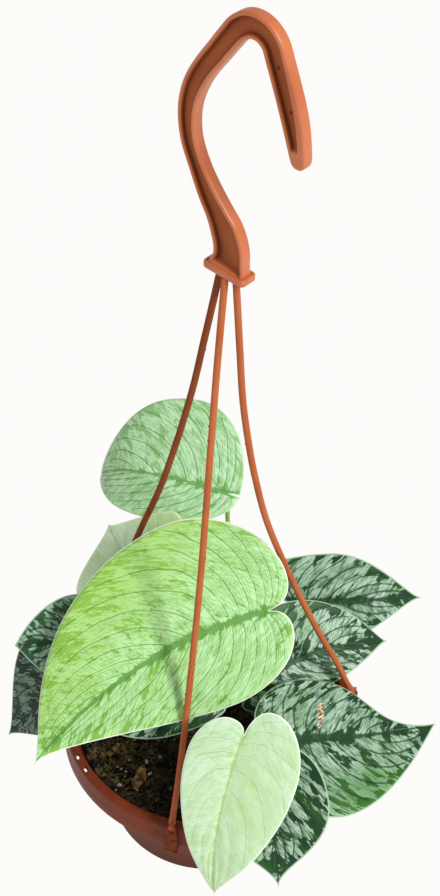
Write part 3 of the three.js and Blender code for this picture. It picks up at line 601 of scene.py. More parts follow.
    # side veins lie at whole numbers of the vein index, uneven in width, with finer ones between
    offset = add(tree, "Math", {0: cloud, 1: 0.5}, 0, operation="SUBTRACT")
    bent = add(tree, "Math", {0: offset, 1: 0.34, 2: veinIndex}, 0, operation="MULTIPLY_ADD")
    nearest = add(tree, "Math", {0: bent, 1: 0.5}, 0, operation="PINGPONG")
    fromVein = add(tree, "Math", {0: nearest, 1: veinGap}, 0, operation="MULTIPLY")
    uneven = add(tree, "Math", {0: chance, 1: 1.4, 2: 0.3}, 0, operation="MULTIPLY_ADD")
    veinWidth = add(tree, "Math", {0: uneven, 1: look["veinWidth"]}, 0, operation="MULTIPLY")
    inVein = add(tree, "Math", {0: fromVein, 1: veinWidth}, 0, operation="DIVIDE")
    mainVein = add(tree, "MapRange", {"Value": inVein, "From Min": 1.4, "From Max": 0.4}, 0,
                   interpolation_type="SMOOTHSTEP")
    fineGap = add(tree, "Math", {0: veinGap, 1: 1 / blade["fineVeinsPerGap"]}, 0, operation="MULTIPLY")
    fineIndex = add(tree, "Math", {0: bent, 1: blade["fineVeinsPerGap"]}, 0, operation="MULTIPLY")
    nearestFine = add(tree, "Math", {0: fineIndex, 1: 0.5}, 0, operation="PINGPONG")
    fromFine = add(tree, "Math", {0: nearestFine, 1: fineGap}, 0, operation="MULTIPLY")
    fineVein = add(tree, "MapRange", {"Value": fromFine, "From Min": 0.32, "From Max": 0.05}, 0,
                   interpolation_type="SMOOTHSTEP")
    wideGap = add(tree, "MapRange", {"Value": fineGap, "From Min": 0.5, "From Max": 1.1}, 0,
                  interpolation_type="SMOOTHSTEP")
    netAmount = add(tree, "Math", {0: soft["net"], 1: look["net"]}, 0, operation="MULTIPLY")
    netLines = add(tree, "Math", {0: netAmount, 1: soft["netArea"]}, 0, operation="MULTIPLY")
    lines = fineVein
    for operation, value in (
            ("MULTIPLY", wideGap), ("MULTIPLY", look["fineVeins"]), ("MULTIPLY", soft["broken"]),
            ("MAXIMUM", netLines), ("MAXIMUM", mainVein), ("MULTIPLY", soft["inside"]),
            ("MULTIPLY", look["veinStrength"])):
        lines = add(tree, "Math", {0: lines, 1: value}, 0, operation=operation)
    color = add(tree, "Mix", {0: lines, 6: color, 7: look["vein"]}, 2, data_type="RGBA")

    # midrib, widest near the petiole, with ragged edges
    ribWidth = add(tree, "MapRange", {"Value": alongLeaf, "From Min": 0.1, "From Max": 0.95,
                                      "To Min": look["midribWidth"], "To Max": 0.5}, 0)
    ragged = add(tree, "Math", {0: chance, 1: 1.6, 2: 0.15}, 0, operation="MULTIPLY_ADD")
    ribEdge = add(tree, "Math", {0: ribWidth, 1: ragged}, 0, operation="MULTIPLY")
    inRib = add(tree, "Math", {0: toMidrib, 1: ribEdge}, 0, operation="DIVIDE")
    rib = add(tree, "MapRange", {"Value": inRib, "From Min": 1.0, "From Max": 0.45}, 0,
              interpolation_type="SMOOTHSTEP")
    ribAmount = add(tree, "Math", {0: rib, 1: look["midribStrength"]}, 0, operation="MULTIPLY")
    color = add(tree, "Mix", {0: ribAmount, 6: color, 7: look["midrib"]}, 2, data_type="RGBA")

    # thin pale margin, and the odd brown scar with a dry pale middle
    color = add(tree, "Mix", {0: soft["margin"], 6: color, 7: look["margin"]}, 2, data_type="RGBA")
    scarColor = add(tree, "Mix", {0: soft["scarPale"], 6: "#6E4A2C", 7: "#E6D7B4"}, 2, data_type="RGBA")
    scarSpot = add(tree, "Math", {0: scar, 1: 0.5, 2: browner}, 0, operation="MULTIPLY_ADD")
    scarHere = add(tree, "MapRange", {"Value": scarSpot, "From Min": 0.72, "From Max": 0.85}, 0,
                   interpolation_type="SMOOTHSTEP")
    color = add(tree, "Mix", {0: scarHere, 6: color, 7: scarColor}, 2, data_type="RGBA")

    # the silver is a little duller than the green, and veins are slightly sunk
    rough = add(tree, "MapRange", {"Value": silverHere, "To Min": 0.42, "To Max": 0.5}, 0)
    grain = add(tree, "Math", {0: streak, 1: 0.35}, 0, operation="MULTIPLY")
    height = add(tree, "Math", {0: grain, 1: lines}, 0, operation="SUBTRACT")
    relief = add(tree, "Bump", {"Height": height, "Strength": 0.35, "Distance": 0.25 * mm}, 0)
    feed(tree, shader, Base_Color=color, Roughness=rough, Normal=relief)
    return material


def undersideMaterial(name, look):
    # underside of a living leaf, without its wax: plain, matt and paler, with veins that stand out a little
    material, tree, shader = newMaterial(name, Roughness=0.6, IOR=1.45, Specular_IOR_Level=0.35)
    place = add(tree, "Attribute", {}, "Vector", attribute_name="veinPlace")
    where = add(tree, "SeparateXYZ", {"Vector": place}).outputs
    cloud = add(tree, "TexNoise", {"Vector": place, "Scale": 0.6, "Detail": 3.0}, "Fac")
    fade = add(tree, "Math", {0: cloud, 1: 0.45}, 0, operation="MULTIPLY")
    color = add(tree, "Mix", {0: fade, 6: look["under"], 7: look["deepBright"]}, 2, data_type="RGBA")
    nearest = add(tree, "Math", {0: where["X"], 1: 0.5}, 0, operation="PINGPONG")
    distance = add(tree, "Math", {0: nearest, 1: where["Z"]}, 0, operation="MULTIPLY")
    line = add(tree, "MapRange", {"Value": distance, "From Min": 0.15, "From Max": 0.6, "To Min": 0.5,
                                  "To Max": 0.0}, 0, interpolation_type="SMOOTHSTEP")
    color = add(tree, "Mix", {0: line, 6: color, 7: look["margin"]}, 2, data_type="RGBA")
    relief = add(tree, "Bump", {"Height": line, "Strength": 0.5, "Distance": 0.3 * mm}, 0)
    feed(tree, shader, Base_Color=color, Normal=relief)
    return material


def stalkMaterial():
    # living green stalk, smooth and slightly waxy, with flecks of about 1 mm
    material, tree, shader = newMaterial("livingStalk", Roughness=0.42, IOR=1.45)
    place = add(tree, "TexCoord", {}, "Object")
    fleck = add(tree, "TexNoise", {"Vector": place, "Scale": 1000 / 1.1111, "Detail": 3.0}, "Fac")
    color = add(tree, "ValToRGB", {"Fac": fleck}, 0, stops=[(0.35, "#6E9A3E"), (0.7, "#9BC15E")])
    feed(tree, shader, Base_Color=color)
    return material


# Short vines in the soil that carry the petioles, in mm.
stems = {
    "stem_back": [(5, 20, -28), (6, 23, 0), (9, 27, 24)],
    "stem_right": [(26, 19, -28), (27, 20, -8), (28, 20, 5)],
    "stem_front": [(5, -35, -28), (5, -36, -6), (8, -38, 12)],
    "stem_left": [(-23, 3, -28), (-25, 2, -2), (-31, 0, 18)],
}
stemShape = {
    "radius": 2.25, "nodeBulge": 0.37, "rings": 60, "sides": 16,
    "nodes": [(0.66, 0.03), (0.9, 0.04)],  # how far up each node sits and how long it is
}
petioleShape = {
    "places": [0, 0.15, 0.8, 0.93, 1], "radii": [1.6, 1.3, 1.15, 1.35, 0.9],  # from the stem to the blade
    "rings": 48, "sides": 14, "intoBlade": 1.5, "underBlade": 0.5,
}

stalk = stalkMaterial()
for name, line in stems.items():
    path = curveThrough(line, stemShape["rings"])
    t = np.linspace(0, 1, stemShape["rings"])
    bulge = sum(np.exp(-((t - place) / reach) ** 2) for place, reach in stemShape["nodes"])
    ends = np.sqrt(np.clip(1 - np.clip((t - 0.96) / 0.042, 0, 1) ** 2, 0.04, 1))  # rounded top
    radii = (stemShape["radius"] + stemShape["nodeBulge"] * bulge) * ends
    points, faces = tube(path, radii, stemShape["sides"])
    newPiece(name + "_vine", points, faces, [stalk], [name])

materialsMade = {}
for ownValues in leaves:
    leaf = {**plainLeaf, **ownValues}
    look = {**leafLooks[leaf["look"]], **leaf["own"]}
    key = leaf["name"] if leaf["own"] else leaf["look"]
    if key not in materialsMade:
        materialsMade[key] = (leafMaterial("livingLeaf_" + key, look),
                              undersideMaterial("leafUnderside_" + key, look))
    points, faces, rimFaces, values, topCount = makeBlade(leaf)
    along, left, normal = leafAxes(leaf)
    stem, share, rise, neck = leaf["petiole"]
    stemPath = curveThrough(stems[stem], 201)
    gone = np.concatenate([[0], np.cumsum(np.linalg.norm(np.diff(stemPath, axis=0), axis=1))])
    start = np.array([np.interp(share * gone[-1], gone, stemPath[:, k]) for k in range(3)])
    end = np.array(leaf["at"]) + petioleShape["intoBlade"] * along - petioleShape["underBlade"] * normal
    path = bezier([start, start + rise, end + neck, end], np.linspace(0.02, 1, petioleShape["rings"]))
    t = np.linspace(0, 1, petioleShape["rings"])
    radii = np.interp(t, petioleShape["places"], petioleShape["radii"])
    stalkPoints, stalkFaces = tube(path, radii, petioleShape["sides"])
    allPoints, allFaces = joined([(points, faces + rimFaces), (stalkPoints, stalkFaces)])
    piece = newPiece(leaf["name"] + "_living", allPoints, allFaces, [*materialsMade[key], stalk],
                     [leaf["name"]])
    mesh = piece.data
    kinds = [0] * topCount + [1] * topCount + [0] * len(rimFaces) + [2] * len(stalkFaces)
    if len(kinds) == len(mesh.polygons):
        mesh.polygons.foreach_set("material_index", kinds)
    else:
        print("faces changed on", leaf["name"], len(kinds), len(mesh.polygons))
    for attribute, field in values.items():
        layer = mesh.attributes.new(attribute, "FLOAT_VECTOR", "POINT")
        whole = np.zeros((len(mesh.vertices), 3))
        whole[:len(field)] = field
        whole[len(field):2 * len(field)] = field
        layer.data.foreach_set("vector", whole.ravel())
print("leaves made:", len(leaves))

# The turned pot, in mm and degrees.
pot = {
    "rimRadius": 75.0, "rimInner": 70.5, "skirtWall": 1.5, "skirtHeight": 15.7, "height": 71.4,
    "baseRadius": 50.0, "wall": 1.8, "baseThickness": 2.0, "segments": 288,
    "slotAngles": [-145.4, -152.2, -32.0, -38.8, 88.0, 94.8], "slotSize": (1.8, 3.0), "slotCircle": 72.95,
    "drainRadius": 4.0, "drainCircle": 31.0, "drains": 6,
    "beadTop": 9.6, "beadBottom": 10.2, "beadDepth": 0.14,  # the skirt steps out here
    "shelf": 1.9, "innerWallShade": 0.3, "underSkirtShade": 0.5, "smoothAngle": 40,
}
# deeper than the hanger's plastic: partly the pot's own colour, partly painted shade for the leaves above it
potLooks = {
    "color": "#6B2C15", "colorLight": "#7A3920", "colorDirt": "#2A1A0F", "colorShadeAndGrime": "#2A1A0F",
    "roughness": 0.42, "shine": 0.1, "dirt": 0.8, "dirtFrom": 0.6, "dirtSize": 6.25, "dirtTop": 3.0,
}


def filleted(corners, steps):
    # rounds each corner (r, z, radius) of a profile
    points = []
    for i, (r, z, radius) in enumerate(corners):
        here = np.array([r, z], float)
        if radius == 0 or i in (0, len(corners) - 1):
            points.append(here)
            continue
        before = np.array(corners[i - 1][:2]) - here
        after = np.array(corners[i + 1][:2]) - here
        before /= np.linalg.norm(before)
        after /= np.linalg.norm(after)
        half = math.acos(max(-1, min(1, before @ after))) / 2
        reach = radius / math.tan(half)
        centre = here + (before + after) / np.linalg.norm(before + after) * radius / math.sin(half)
        a, b = here + before * reach - centre, here + after * reach - centre
        for k in range(steps + 1):
            mix = a * (1 - k / steps) + b * (k / steps)
            points.append(centre + mix / np.linalg.norm(mix) * radius)
    return points


def turned(profile, segments):
    # closed skin of a profile turned round the axis; its ends lie on the axis
    points = [(0.0, 0.0, profile[0][1])]
    rings = []
    for r, z in profile[1:-1]:
        rings.append(len(points))
        for k in range(segments):
            turn = 2 * math.pi * k / segments
            points.append((r * math.cos(turn), r * math.sin(turn), z))
    points.append((0.0, 0.0, profile[-1][1]))
    faces = []
    for k in range(segments):
        n = (k + 1) % segments
        faces.append((0, rings[0] + n, rings[0] + k))
        faces.append((len(points) - 1, rings[-1] + k, rings[-1] + n))
        for a, b in zip(rings[:-1], rings[1:]):
            faces.append((a + k, a + n, b + n, b + k))
    return np.array(points), faces


def cut(piece, cutters):
    # cuts the holes and makes them part of the mesh
    for cutter in cutters:
        modifier = piece.modifiers.new("cut", "BOOLEAN")
        modifier.object = cutter
        modifier.operation = "DIFFERENCE"
        modifier.solver = "EXACT"
    bpy.context.view_layer.update()
    shaped = bpy.data.meshes.new_from_object(piece.evaluated_get(bpy.context.evaluated_depsgraph_get()))
    piece.modifiers.clear()
    piece.data = shaped
    for cutter in cutters:
        bpy.data.objects.remove(cutter)


def plainSolid(name, points, faces):
    mesh = bpy.data.meshes.new(name)
    mesh.from_pydata(((np.asarray(points) + rimCentre) * mm).tolist(), [], faces)
    solid = bpy.data.objects.new(name, mesh)
    scene.collection.objects.link(solid)
    return solid


def boxPoints(size, centre, turn):
    x, y, z = [s / 2 for s in size]
    corners = np.array([(a, b, c) for c in (-z, z) for a, b in ((-x, -y), (x, -y), (x, y), (-x, y))])
    faces = [(3, 2, 1, 0), (4, 5, 6, 7), (0, 1, 5, 4), (1, 2, 6, 5), (2, 3, 7, 6), (3, 0, 4, 7)]
    return spin(corners + centre, turn), faces


def mouldedPlastic(name, looks):
    # injection-moulded polypropylene: satin with soft highlights, faint flow marks about 22 mm apart, a grain
    # of about 1 mm, drawn coarser than it is so that it shows, dirt below a height, and painted shade and
    # grime
    shine, roughness = looks["shine"], looks["roughness"]
    darkenedShine = 0.1
    material, tree, shader = newMaterial(name, Roughness=roughness, IOR=1.49, Specular_IOR_Level=shine)
    place = add(tree, "TexCoord", {}, "Object")
    flow = add(tree, "TexNoise", {"Vector": place, "Scale": 1000 / 22.2222, "Detail": 4.0}, "Fac")
    grain = add(tree, "TexNoise", {"Vector": place, "Scale": 1000 / 1.1111, "Detail": 2.0}, "Fac")
    shades = add(tree, "ValToRGB", {"Fac": flow}, 0,
                 stops=[(0.3, looks["color"]), (0.75, looks["colorLight"])])
    patches = add(tree, "TexNoise", {"Vector": place, "Scale": 1000 / looks["dirtSize"], "Detail": 6.0,
                                     "Roughness": 0.65}, "Fac")
    dirt = add(tree, "MapRange", {"Value": patches, "From Min": looks["dirtFrom"],
                                  "From Max": looks["dirtFrom"] + 0.08, "To Max": looks["dirt"]}, 0)
    height = add(tree, "SeparateXYZ", {"Vector": place}, "Z")
    dirtTop = (looks["dirtTop"] + rimCentre[2]) * mm
    low = add(tree, "MapRange", {"Value": height, "From Min": dirtTop, "From Max": dirtTop - 0.01}, 0)
    dirtHere = add(tree, "Math", {0: dirt, 1: low}, 0, operation="MULTIPLY")
    color = add(tree, "Mix", {0: dirtHere, 6: shades, 7: looks["colorDirt"]}, 2, data_type="RGBA")
    # painted shade in the hook's hollow, on the pot and on strand_back's rod, plus grime on marks, darkens
    # the colour here and dulls its shine
    shadeAndGrime = add(tree, "Attribute", {}, "Fac", attribute_name="shadeAndGrime")
    color = add(tree, "Mix", {0: shadeAndGrime, 6: color, 7: looks["colorShadeAndGrime"]}, 2, data_type="RGBA")
    flowRough = add(tree, "MapRange", {"Value": flow, "From Min": 0.3, "From Max": 0.7,
                                       "To Min": roughness - 0.05, "To Max": roughness + 0.08}, 0)
    rough = add(tree, "Math", {0: shadeAndGrime, 1: 0.8, 2: flowRough}, 0, operation="MULTIPLY_ADD", use_clamp=True)
    relief = add(tree, "Bump", {"Height": grain, "Strength": 0.12, "Distance": 0.2 * mm}, 0)
    feed(tree, shader, Base_Color=color, Roughness=rough, Normal=relief)
    if shine > darkenedShine:
        shineHere = add(tree, "MapRange", {"Value": shadeAndGrime, "From Max": 0.15, "To Min": shine,
                                           "To Max": darkenedShine}, 0)
        feed(tree, shader, Specular_IOR_Level=shineHere)
    return material


potPlastic = mouldedPlastic("mouldedPotPlastic", potLooks)
inner, outer = pot["rimInner"], pot["rimRadius"]
skirt, base = outer - pot["skirtWall"], pot["baseRadius"]
potBottom = -pot["height"]
potFloor = pot["baseThickness"] - pot["height"]
profile = filleted([
    (0, potBottom, 0), (base, potBottom, 1.5), (inner + pot["wall"], -pot["shelf"], 0.5),
    (skirt, -pot["shelf"], 0.5), (skirt, -pot["skirtHeight"], 0.3), (outer, -pot["skirtHeight"], 0.6),
    (outer, -pot["beadBottom"], 0.2),
    (outer - pot["beadDepth"], -pot["beadTop"], 0.2), (outer - pot["beadDepth"], 0, 2.6), (inner, 0, 1.7),
    (base - pot["wall"], potFloor, 1.0), (0, potFloor, 0)], 6)  # distance from the axis, height, rounding
points, faces = turned(profile, pot["segments"])
potPiece = newPiece("pot_moulded", points, faces, [potPlastic], ["pot"])
cutters = []
for k, angle in enumerate(pot["slotAngles"]):
    cutter = boxPoints((*pot["slotSize"], 6), (pot["slotCircle"], 0, -1), math.radians(angle))
    cutters.append(plainSolid("slotCutter%d" % k, *cutter))
for k in range(pot["drains"]):
    turn = 2 * math.pi * k / pot["drains"]
    x, y = pot["drainCircle"] * math.cos(turn), pot["drainCircle"] * math.sin(turn)
    cutter = tube([(x, y, z) for z in (-73, -72, -68, -67)], [pot["drainRadius"]] * 4, 40)
    cutters.append(plainSolid("drainCutter%d" % k, *cutter))
cut(potPiece, cutters)
potMesh = potPiece.data
potMesh.polygons.foreach_set("use_smooth", [True] * len(potMesh.polygons))
potMesh.set_sharp_from_angle(angle=math.radians(pot["smoothAngle"]))
heights = np.array([v.co.z for v in potMesh.vertices]) / mm - rimCentre[2]
away = np.array([math.hypot(*(np.array(v.co[:2]) / mm - rimCentre[:2])) for v in potMesh.vertices])
# painted shade: darker on the inner wall above the soil and on the body under the skirt
onWall = pot["innerWallShade"] * (away < inner + 0.05) * (heights > -20) * (heights < -1)
underSkirt = pot["underSkirtShade"] * smoothStep(-heights, 15, 24)
setShadeAndGrime(potPiece, (underSkirt + onWall).tolist())
print("pot made")

soil = {
    "unshadedTo": -36.0, "shadedFrom": -24.0, "shadeDepth": 0.72,  # painted shade, dark from here to the right
    "depth": 9.0, "crumbs": 6800, "fibres": 1150, "perlite": 120, "chips": 16, "seed": 11,
    "dark": "#0D0906", "brown": "#634C31", "olive": "#7C6A44", "fibre": "#C0A86E", "fibreDark": "#44311F",
    "perliteColor": "#E9E6DC", "perliteShade": "#8E8A7E", "bark": "#C98F55", "barkShade": "#3F2A18",
    "wallGap": 0.33, "highest": -6.0, "segments": 240, "rings": 84, "grainAngle": 28,
    # grains and bark that lie in the open: across, forward and half sizes in mm
    "perliteSpots": [(-45.6, -21.2, 0.8), (-45.2, -33.6, 0.75), (-43.1, -34.8, 0.6), (-40.5, -36.5, 0.5),
                     (-40.8, -38.9, 0.6), (-34.1, -41.6, 0.85), (-32.3, -43.8, 0.65), (-34.3, -47.1, 0.7),
                     (-30.3, -30.4, 1.1), (-39.4, -29.6, 0.55), (-18.1, -31.0, 0.6), (-25.5, -15.8, 0.5)],
    "barkSpots": [(-33.4, -41.0, 8.2, 2.9, 1.4), (-48.0, -25.0, 4.5, 1.6, 0.9)],
}
draw = random.Random(soil["seed"])


def soilHeight(x, y):
    r = math.hypot(x, y) / 75
    lumps = math.sin(x * 0.21 + 1) * math.cos(y * 0.17) + 0.6 * math.sin(x * 0.43 - y * 0.38)
    return -soil["depth"] + 1.6 * (1 - r * r) + 0.7 * lumps


def roughSoil(x, y):
    fine = noise.noise(Vector((x * 0.35, y * 0.35, 3.1))) * 0.9
    finer = noise.noise(Vector((x * 1.1, y * 1.1, 7.7))) * 0.5
    return soilHeight(x, y) + (fine + finer)


def earth(name, low, high, roughness, size, lowEnds=0.38):
    # loose earth, matt and mottled every so many mm, with painted shade that turns it nearly black to the
    # right
    material, tree, shader = newMaterial(name, Roughness=roughness, Specular_IOR_Level=0.25)
    place = add(tree, "TexCoord", {}, "Object")
    mottle = add(tree, "TexNoise", {"Vector": place, "Scale": 1000 / size, "Detail": 5.0}, "Fac")
    color = add(tree, "ValToRGB", {"Fac": mottle}, 0, stops=[(lowEnds, low), (0.68, high)])
    # painted shade of the leaves over the soil, nearly black to the right
    across = add(tree, "SeparateXYZ", {"Vector": place}, "X")
    shadedHere = add(tree, "MapRange", {"Value": across, "From Min": soil["unshadedTo"] * mm,
                                 "From Max": soil["shadedFrom"] * mm, "To Max": soil["shadeDepth"]}, 0)
    color = add(tree, "Mix", {0: shadedHere, 6: color, 7: soil["dark"]}, 2, data_type="RGBA")
    relief = add(tree, "Bump", {"Height": mottle, "Strength": 0.5, "Distance": 0.6 * mm}, 0)
    feed(tree, shader, Base_Color=color, Normal=relief)
    return material


peat = earth("loosePeat", soil["dark"], soil["brown"], 0.95, 4.5455, 0.46)
crumbPeat = earth("peatCrumb", soil["dark"], soil["olive"], 0.9, 8.3333, 0.45)
coir = earth("coirFibre", soil["fibreDark"], soil["fibre"], 0.75, 6.25)
perlite = earth("crushedPerlite", soil["perliteShade"], soil["perliteColor"], 0.85, 1.1111, 0.42)
bark = earth("pineBark", soil["barkShade"], soil["bark"], 0.8, 3.8462)

floorZ = potFloor + 0.3
slope = (inner - base + pot["wall"]) / (pot["height"] - pot["baseThickness"] - 0.8)


def wallRadius(z):
    return base - pot["wall"] - soil["wallGap"] + slope * (z - potFloor)


segments = soil["segments"]
around = np.arange(segments) * 2 * math.pi / segments
soilPoints = [(0, 0, floorZ)]
rings = []
for z in (floorZ, -40, -12):
    r = wallRadius(z)
    rings.append(len(soilPoints))
    soilPoints += [(r * math.cos(t), r * math.sin(t), z) for t in around]
for r in np.linspace(wallRadius(-10) - 0.2, 2.0, soil["rings"]):
    rings.append(len(soilPoints))
    for t in around:
        x, y = r * math.cos(t), r * math.sin(t)
        soilPoints.append((x, y, min(roughSoil(x, y), soil["highest"])))
soilPoints.append((0, 0, roughSoil(0, 0)))
soilFaces = []
for k in range(segments):
    n = (k + 1) % segments
    soilFaces.append((0, rings[0] + n, rings[0] + k))
    soilFaces.append((len(soilPoints) - 1, rings[-1] + k, rings[-1] + n))
    for a, b in zip(rings[:-1], rings[1:]):
        soilFaces.append((a + k, a + n, b + n, b + k))
newPiece("soil_peat", soilPoints, soilFaces, [peat], ["soil"])


def lump(size, centre, stretch, seedOffset, detail=1, tumble=1.0):
    # an irregular grain: a noisy ball
    ball = bmesh.new()
    bmesh.ops.create_icosphere(ball, subdivisions=detail, radius=1.0)
    axis = (draw.uniform(-1, 1), draw.uniform(-1, 1), draw.uniform(-1, 1) + 0.01)
    turn = Matrix.Rotation(draw.uniform(0, 6.28) * tumble, 3, axis)
    points = []
    for vertex in ball.verts:
        p = vertex.co * (1 + 0.45 * noise.noise(vertex.co * 1.3 + Vector((seedOffset, 0, 0))))
        p = turn @ Vector((p.x * stretch[0], p.y * stretch[1], p.z * stretch[2]))
        points.append((p.x * size + centre[0], p.y * size + centre[1], p.z * size + centre[2]))
    faces = [tuple(v.index for v in f.verts) for f in ball.faces]
    ball.free()
    return np.array(points), faces


def clearOfStems(x, y, reach):
    return all(math.hypot(x - line[1][0], y - line[1][1]) > 3.1 + reach for line in stems.values())


def scattered(count, sizeRange, stretch, name, material, lift=0.2, detail=1, border=66.0, placed=()):
    parts = []
    for x, y, size in placed:
        parts.append(lump(size, (x, y, roughSoil(x, y) + lift * size + 0.3),
                          [draw.uniform(*s) for s in stretch], draw.uniform(0, 90), detail))
    while len(parts) < count:
        r, t = border * math.sqrt(draw.random()), draw.uniform(0, 2 * math.pi)
        x, y = r * math.cos(t), r * math.sin(t)
        size = sizeRange[0] * (sizeRange[1] / sizeRange[0]) ** draw.random()
        if r + size > border or not clearOfStems(x, y, size):
            continue
        parts.append(lump(size, (x, y, roughSoil(x, y) + lift * size),
                          [draw.uniform(*s) for s in stretch], draw.uniform(0, 90), detail))
    points, faces = joined(parts)
    return newPiece(name, points, faces, [material], smoothAngle=soil["grainAngle"])


scattered(soil["crumbs"], (0.3, 1.25), [(0.5, 1.4)] * 3, "soil_crumbs", crumbPeat)
scattered(soil["perlite"], (0.25, 1.25), [(0.5, 1.5)] * 3, "soil_perlite", perlite, 0.4, 2,
          placed=soil["perliteSpots"])

fibres = []
for k in range(soil["fibres"]):
    atWall = k % 3 == 0
    r = draw.uniform(56, 65) if atWall else 64 * math.sqrt(draw.random())
    t = draw.uniform(0, 2 * math.pi)
    x, y = r * math.cos(t), r * math.sin(t)
    heading = t + math.pi / 2 + draw.uniform(-0.6, 0.6) if atWall else draw.uniform(0, 2 * math.pi)
    length, bend = draw.uniform(4, 16), draw.uniform(-0.16, 0.16)
    path = []
    arch = draw.uniform(0.1, 1.1)
    for i in range(9):
        path.append((x, y, roughSoil(x, y) + 0.35 + arch * math.sin(math.pi * i / 8)))
        x += math.cos(heading) * length / 8
        y += math.sin(heading) * length / 8
        heading += bend
    if all(math.hypot(p[0], p[1]) < 66.3 and clearOfStems(p[0], p[1], 0.5) for p in path):
        thin = draw.uniform(0.07, 0.19)
        fibres.append(tube(path, [thin * (1 - 0.5 * abs(i - 4) / 4) for i in range(9)], 5))
points, faces = joined(fibres)
newPiece("soil_fibres", points, faces, [coir])

chipSpots = list(soil["barkSpots"])
while len(chipSpots) < soil["chips"]:
    r, t = 60 * math.sqrt(draw.random()), draw.uniform(0, 6.28)
    long, wide, turn = draw.uniform(2, 4.5), draw.uniform(1, 2.4), draw.uniform(0, 3)
    chipSpots.append((r * math.cos(t), r * math.sin(t), long, wide, turn))
chips = []
for x, y, long, wide, turn in chipSpots:
    if not clearOfStems(x, y, long):
        continue
    made, faces = lump(1.0, (0, 0, 0), (long, wide, 0.9), x, 3, tumble=0.04)
    flat = np.array(made) - np.mean(made, 0)
    chips.append((spin(flat, turn) + (x, y, soilHeight(x, y) + 1.3), faces))
points, faces = joined(chips)
newPiece("soil_bark", points, faces, [bark])
print("soil made")

# The hanger, in mm and degrees, with heights above the rim.
hanger = {
    "angle": -41.0, "thickness": 5.3, "web": 1.8, "flange": 1.7, "edgeRadius": 0.9, "strand": 3.1,
    "plate": (22.0, 9.2, 3.0), "plateBottom": 280.0, "plateOffset": 1.0, "plateCorner": 2.0, "plateLip": 1.1,
    "pinMarks": [(21.0, 382.0), (28.0, 366.7)], "pinGrime": 0.85, "beadGrime": 0.7, "smoothAngle": 50,
    "tabFace": 75.32, "tabThickness": 2.0, "lip": (3.6, 6, 1.9), "lipPlace": (74.6, 0, -16.95),
    # height and half width of the tab, narrow above and wide below
    "tabRows": [(3.6, 1.9), (0, 2.3), (-2, 2.5), (-6, 3.0), (-11, 3.3), (-13.5, 3.45), (-17.4, 3.5),
                (-18.1, 3.1)],
    # how deep the painted shade lies from the hook's edge into its hollow
    "hollowShade": [0, 0, 0, 0, 0, 0.06, 0.25, 0.7, 1, 0.95, 0.7, 0.6],
}
hangerLooks = {
    "color": "#B95E33", "colorLight": "#CD7646", "colorDirt": "#37170C", "colorShadeAndGrime": "#4C1F12",
    "roughness": 0.36, "shine": 0.6, "dirt": 0.85, "dirtFrom": 0.53, "dirtSize": 3.0303, "dirtTop": 12.0,
}
# distance from the pot's axis, height and width along the hook
hookLine = [
    (1.4, 282, 18.8), (1.9, 287.5, 16.2), (1.6, 293, 16), (-0.9, 300, 15.4), (-5.2, 306.5, 12.6),
    (-10.1, 313, 11), (-16.2, 323, 8.8), (-20.9, 333.5, 8.7), (-22.2, 343.5, 9), (-21.2, 352, 9.4),
    (-18.4, 360, 9.6), (-14, 368, 9.6), (-8.6, 375.9, 9.8), (-2.8, 384.4, 10), (1.8, 390.4, 10.3),
    (7, 393.74, 10.5), (13, 393.74, 10.6), (17.9, 390.4, 10.6), (21.3, 383.5, 10.7), (24.6, 376, 10.7),
    (27.6, 368.7, 10.6), (30.2, 361.4, 10), (32.2, 354, 8.6), (33.4, 349, 7.2), (34, 345, 5),
]
# distance from the pot's axis and height along a strand
strandCurve = [
    (3.2, 282), (4.4, 265), (6.2, 238), (8.2, 210), (11.2, 186), (14.8, 164), (21.4, 134), (34.6, 94),
    (49.6, 55), (63, 25), (70.8, 11.5), (74.6, 5.2), (76.4, 0.6),
]
# bow and lean: how far a strand swings out and where. settle: how far its foot sits in. marks: gate marks,
# each (height, heading)
strands = [
    {
        "name": "strand_front", "angle": 258.0, "bow": 10.0, "lean": 1.6, "shadeAndGrime": 0.2,
        "tabDarker": 0.72, "settle": 0.0, "marks": [(211, 190), (204, 200), (68, 190), (140, 20)],
    },
    {
        "name": "strand_right", "angle": 9.5, "bow": 2.8, "lean": 0.4, "shadeAndGrime": 0.2, "tabDarker": 0.15,
        "settle": 1.8, "marks": [(184, 185), (111, 200), (46, 10)],
    },
    {
        # painted shade: this rod is darkened because it lies in shade
        "name": "strand_back", "angle": 139.0, "bow": 15.5, "lean": 0.7, "shadeAndGrime": 0.66, "tabDarker": 0.6,
        "settle": 0.0, "marks": [(191, 200), (120, 180), (232, 10)],
    },
]

hangerPlastic = mouldedPlastic("mouldedHangerPlastic", hangerLooks)


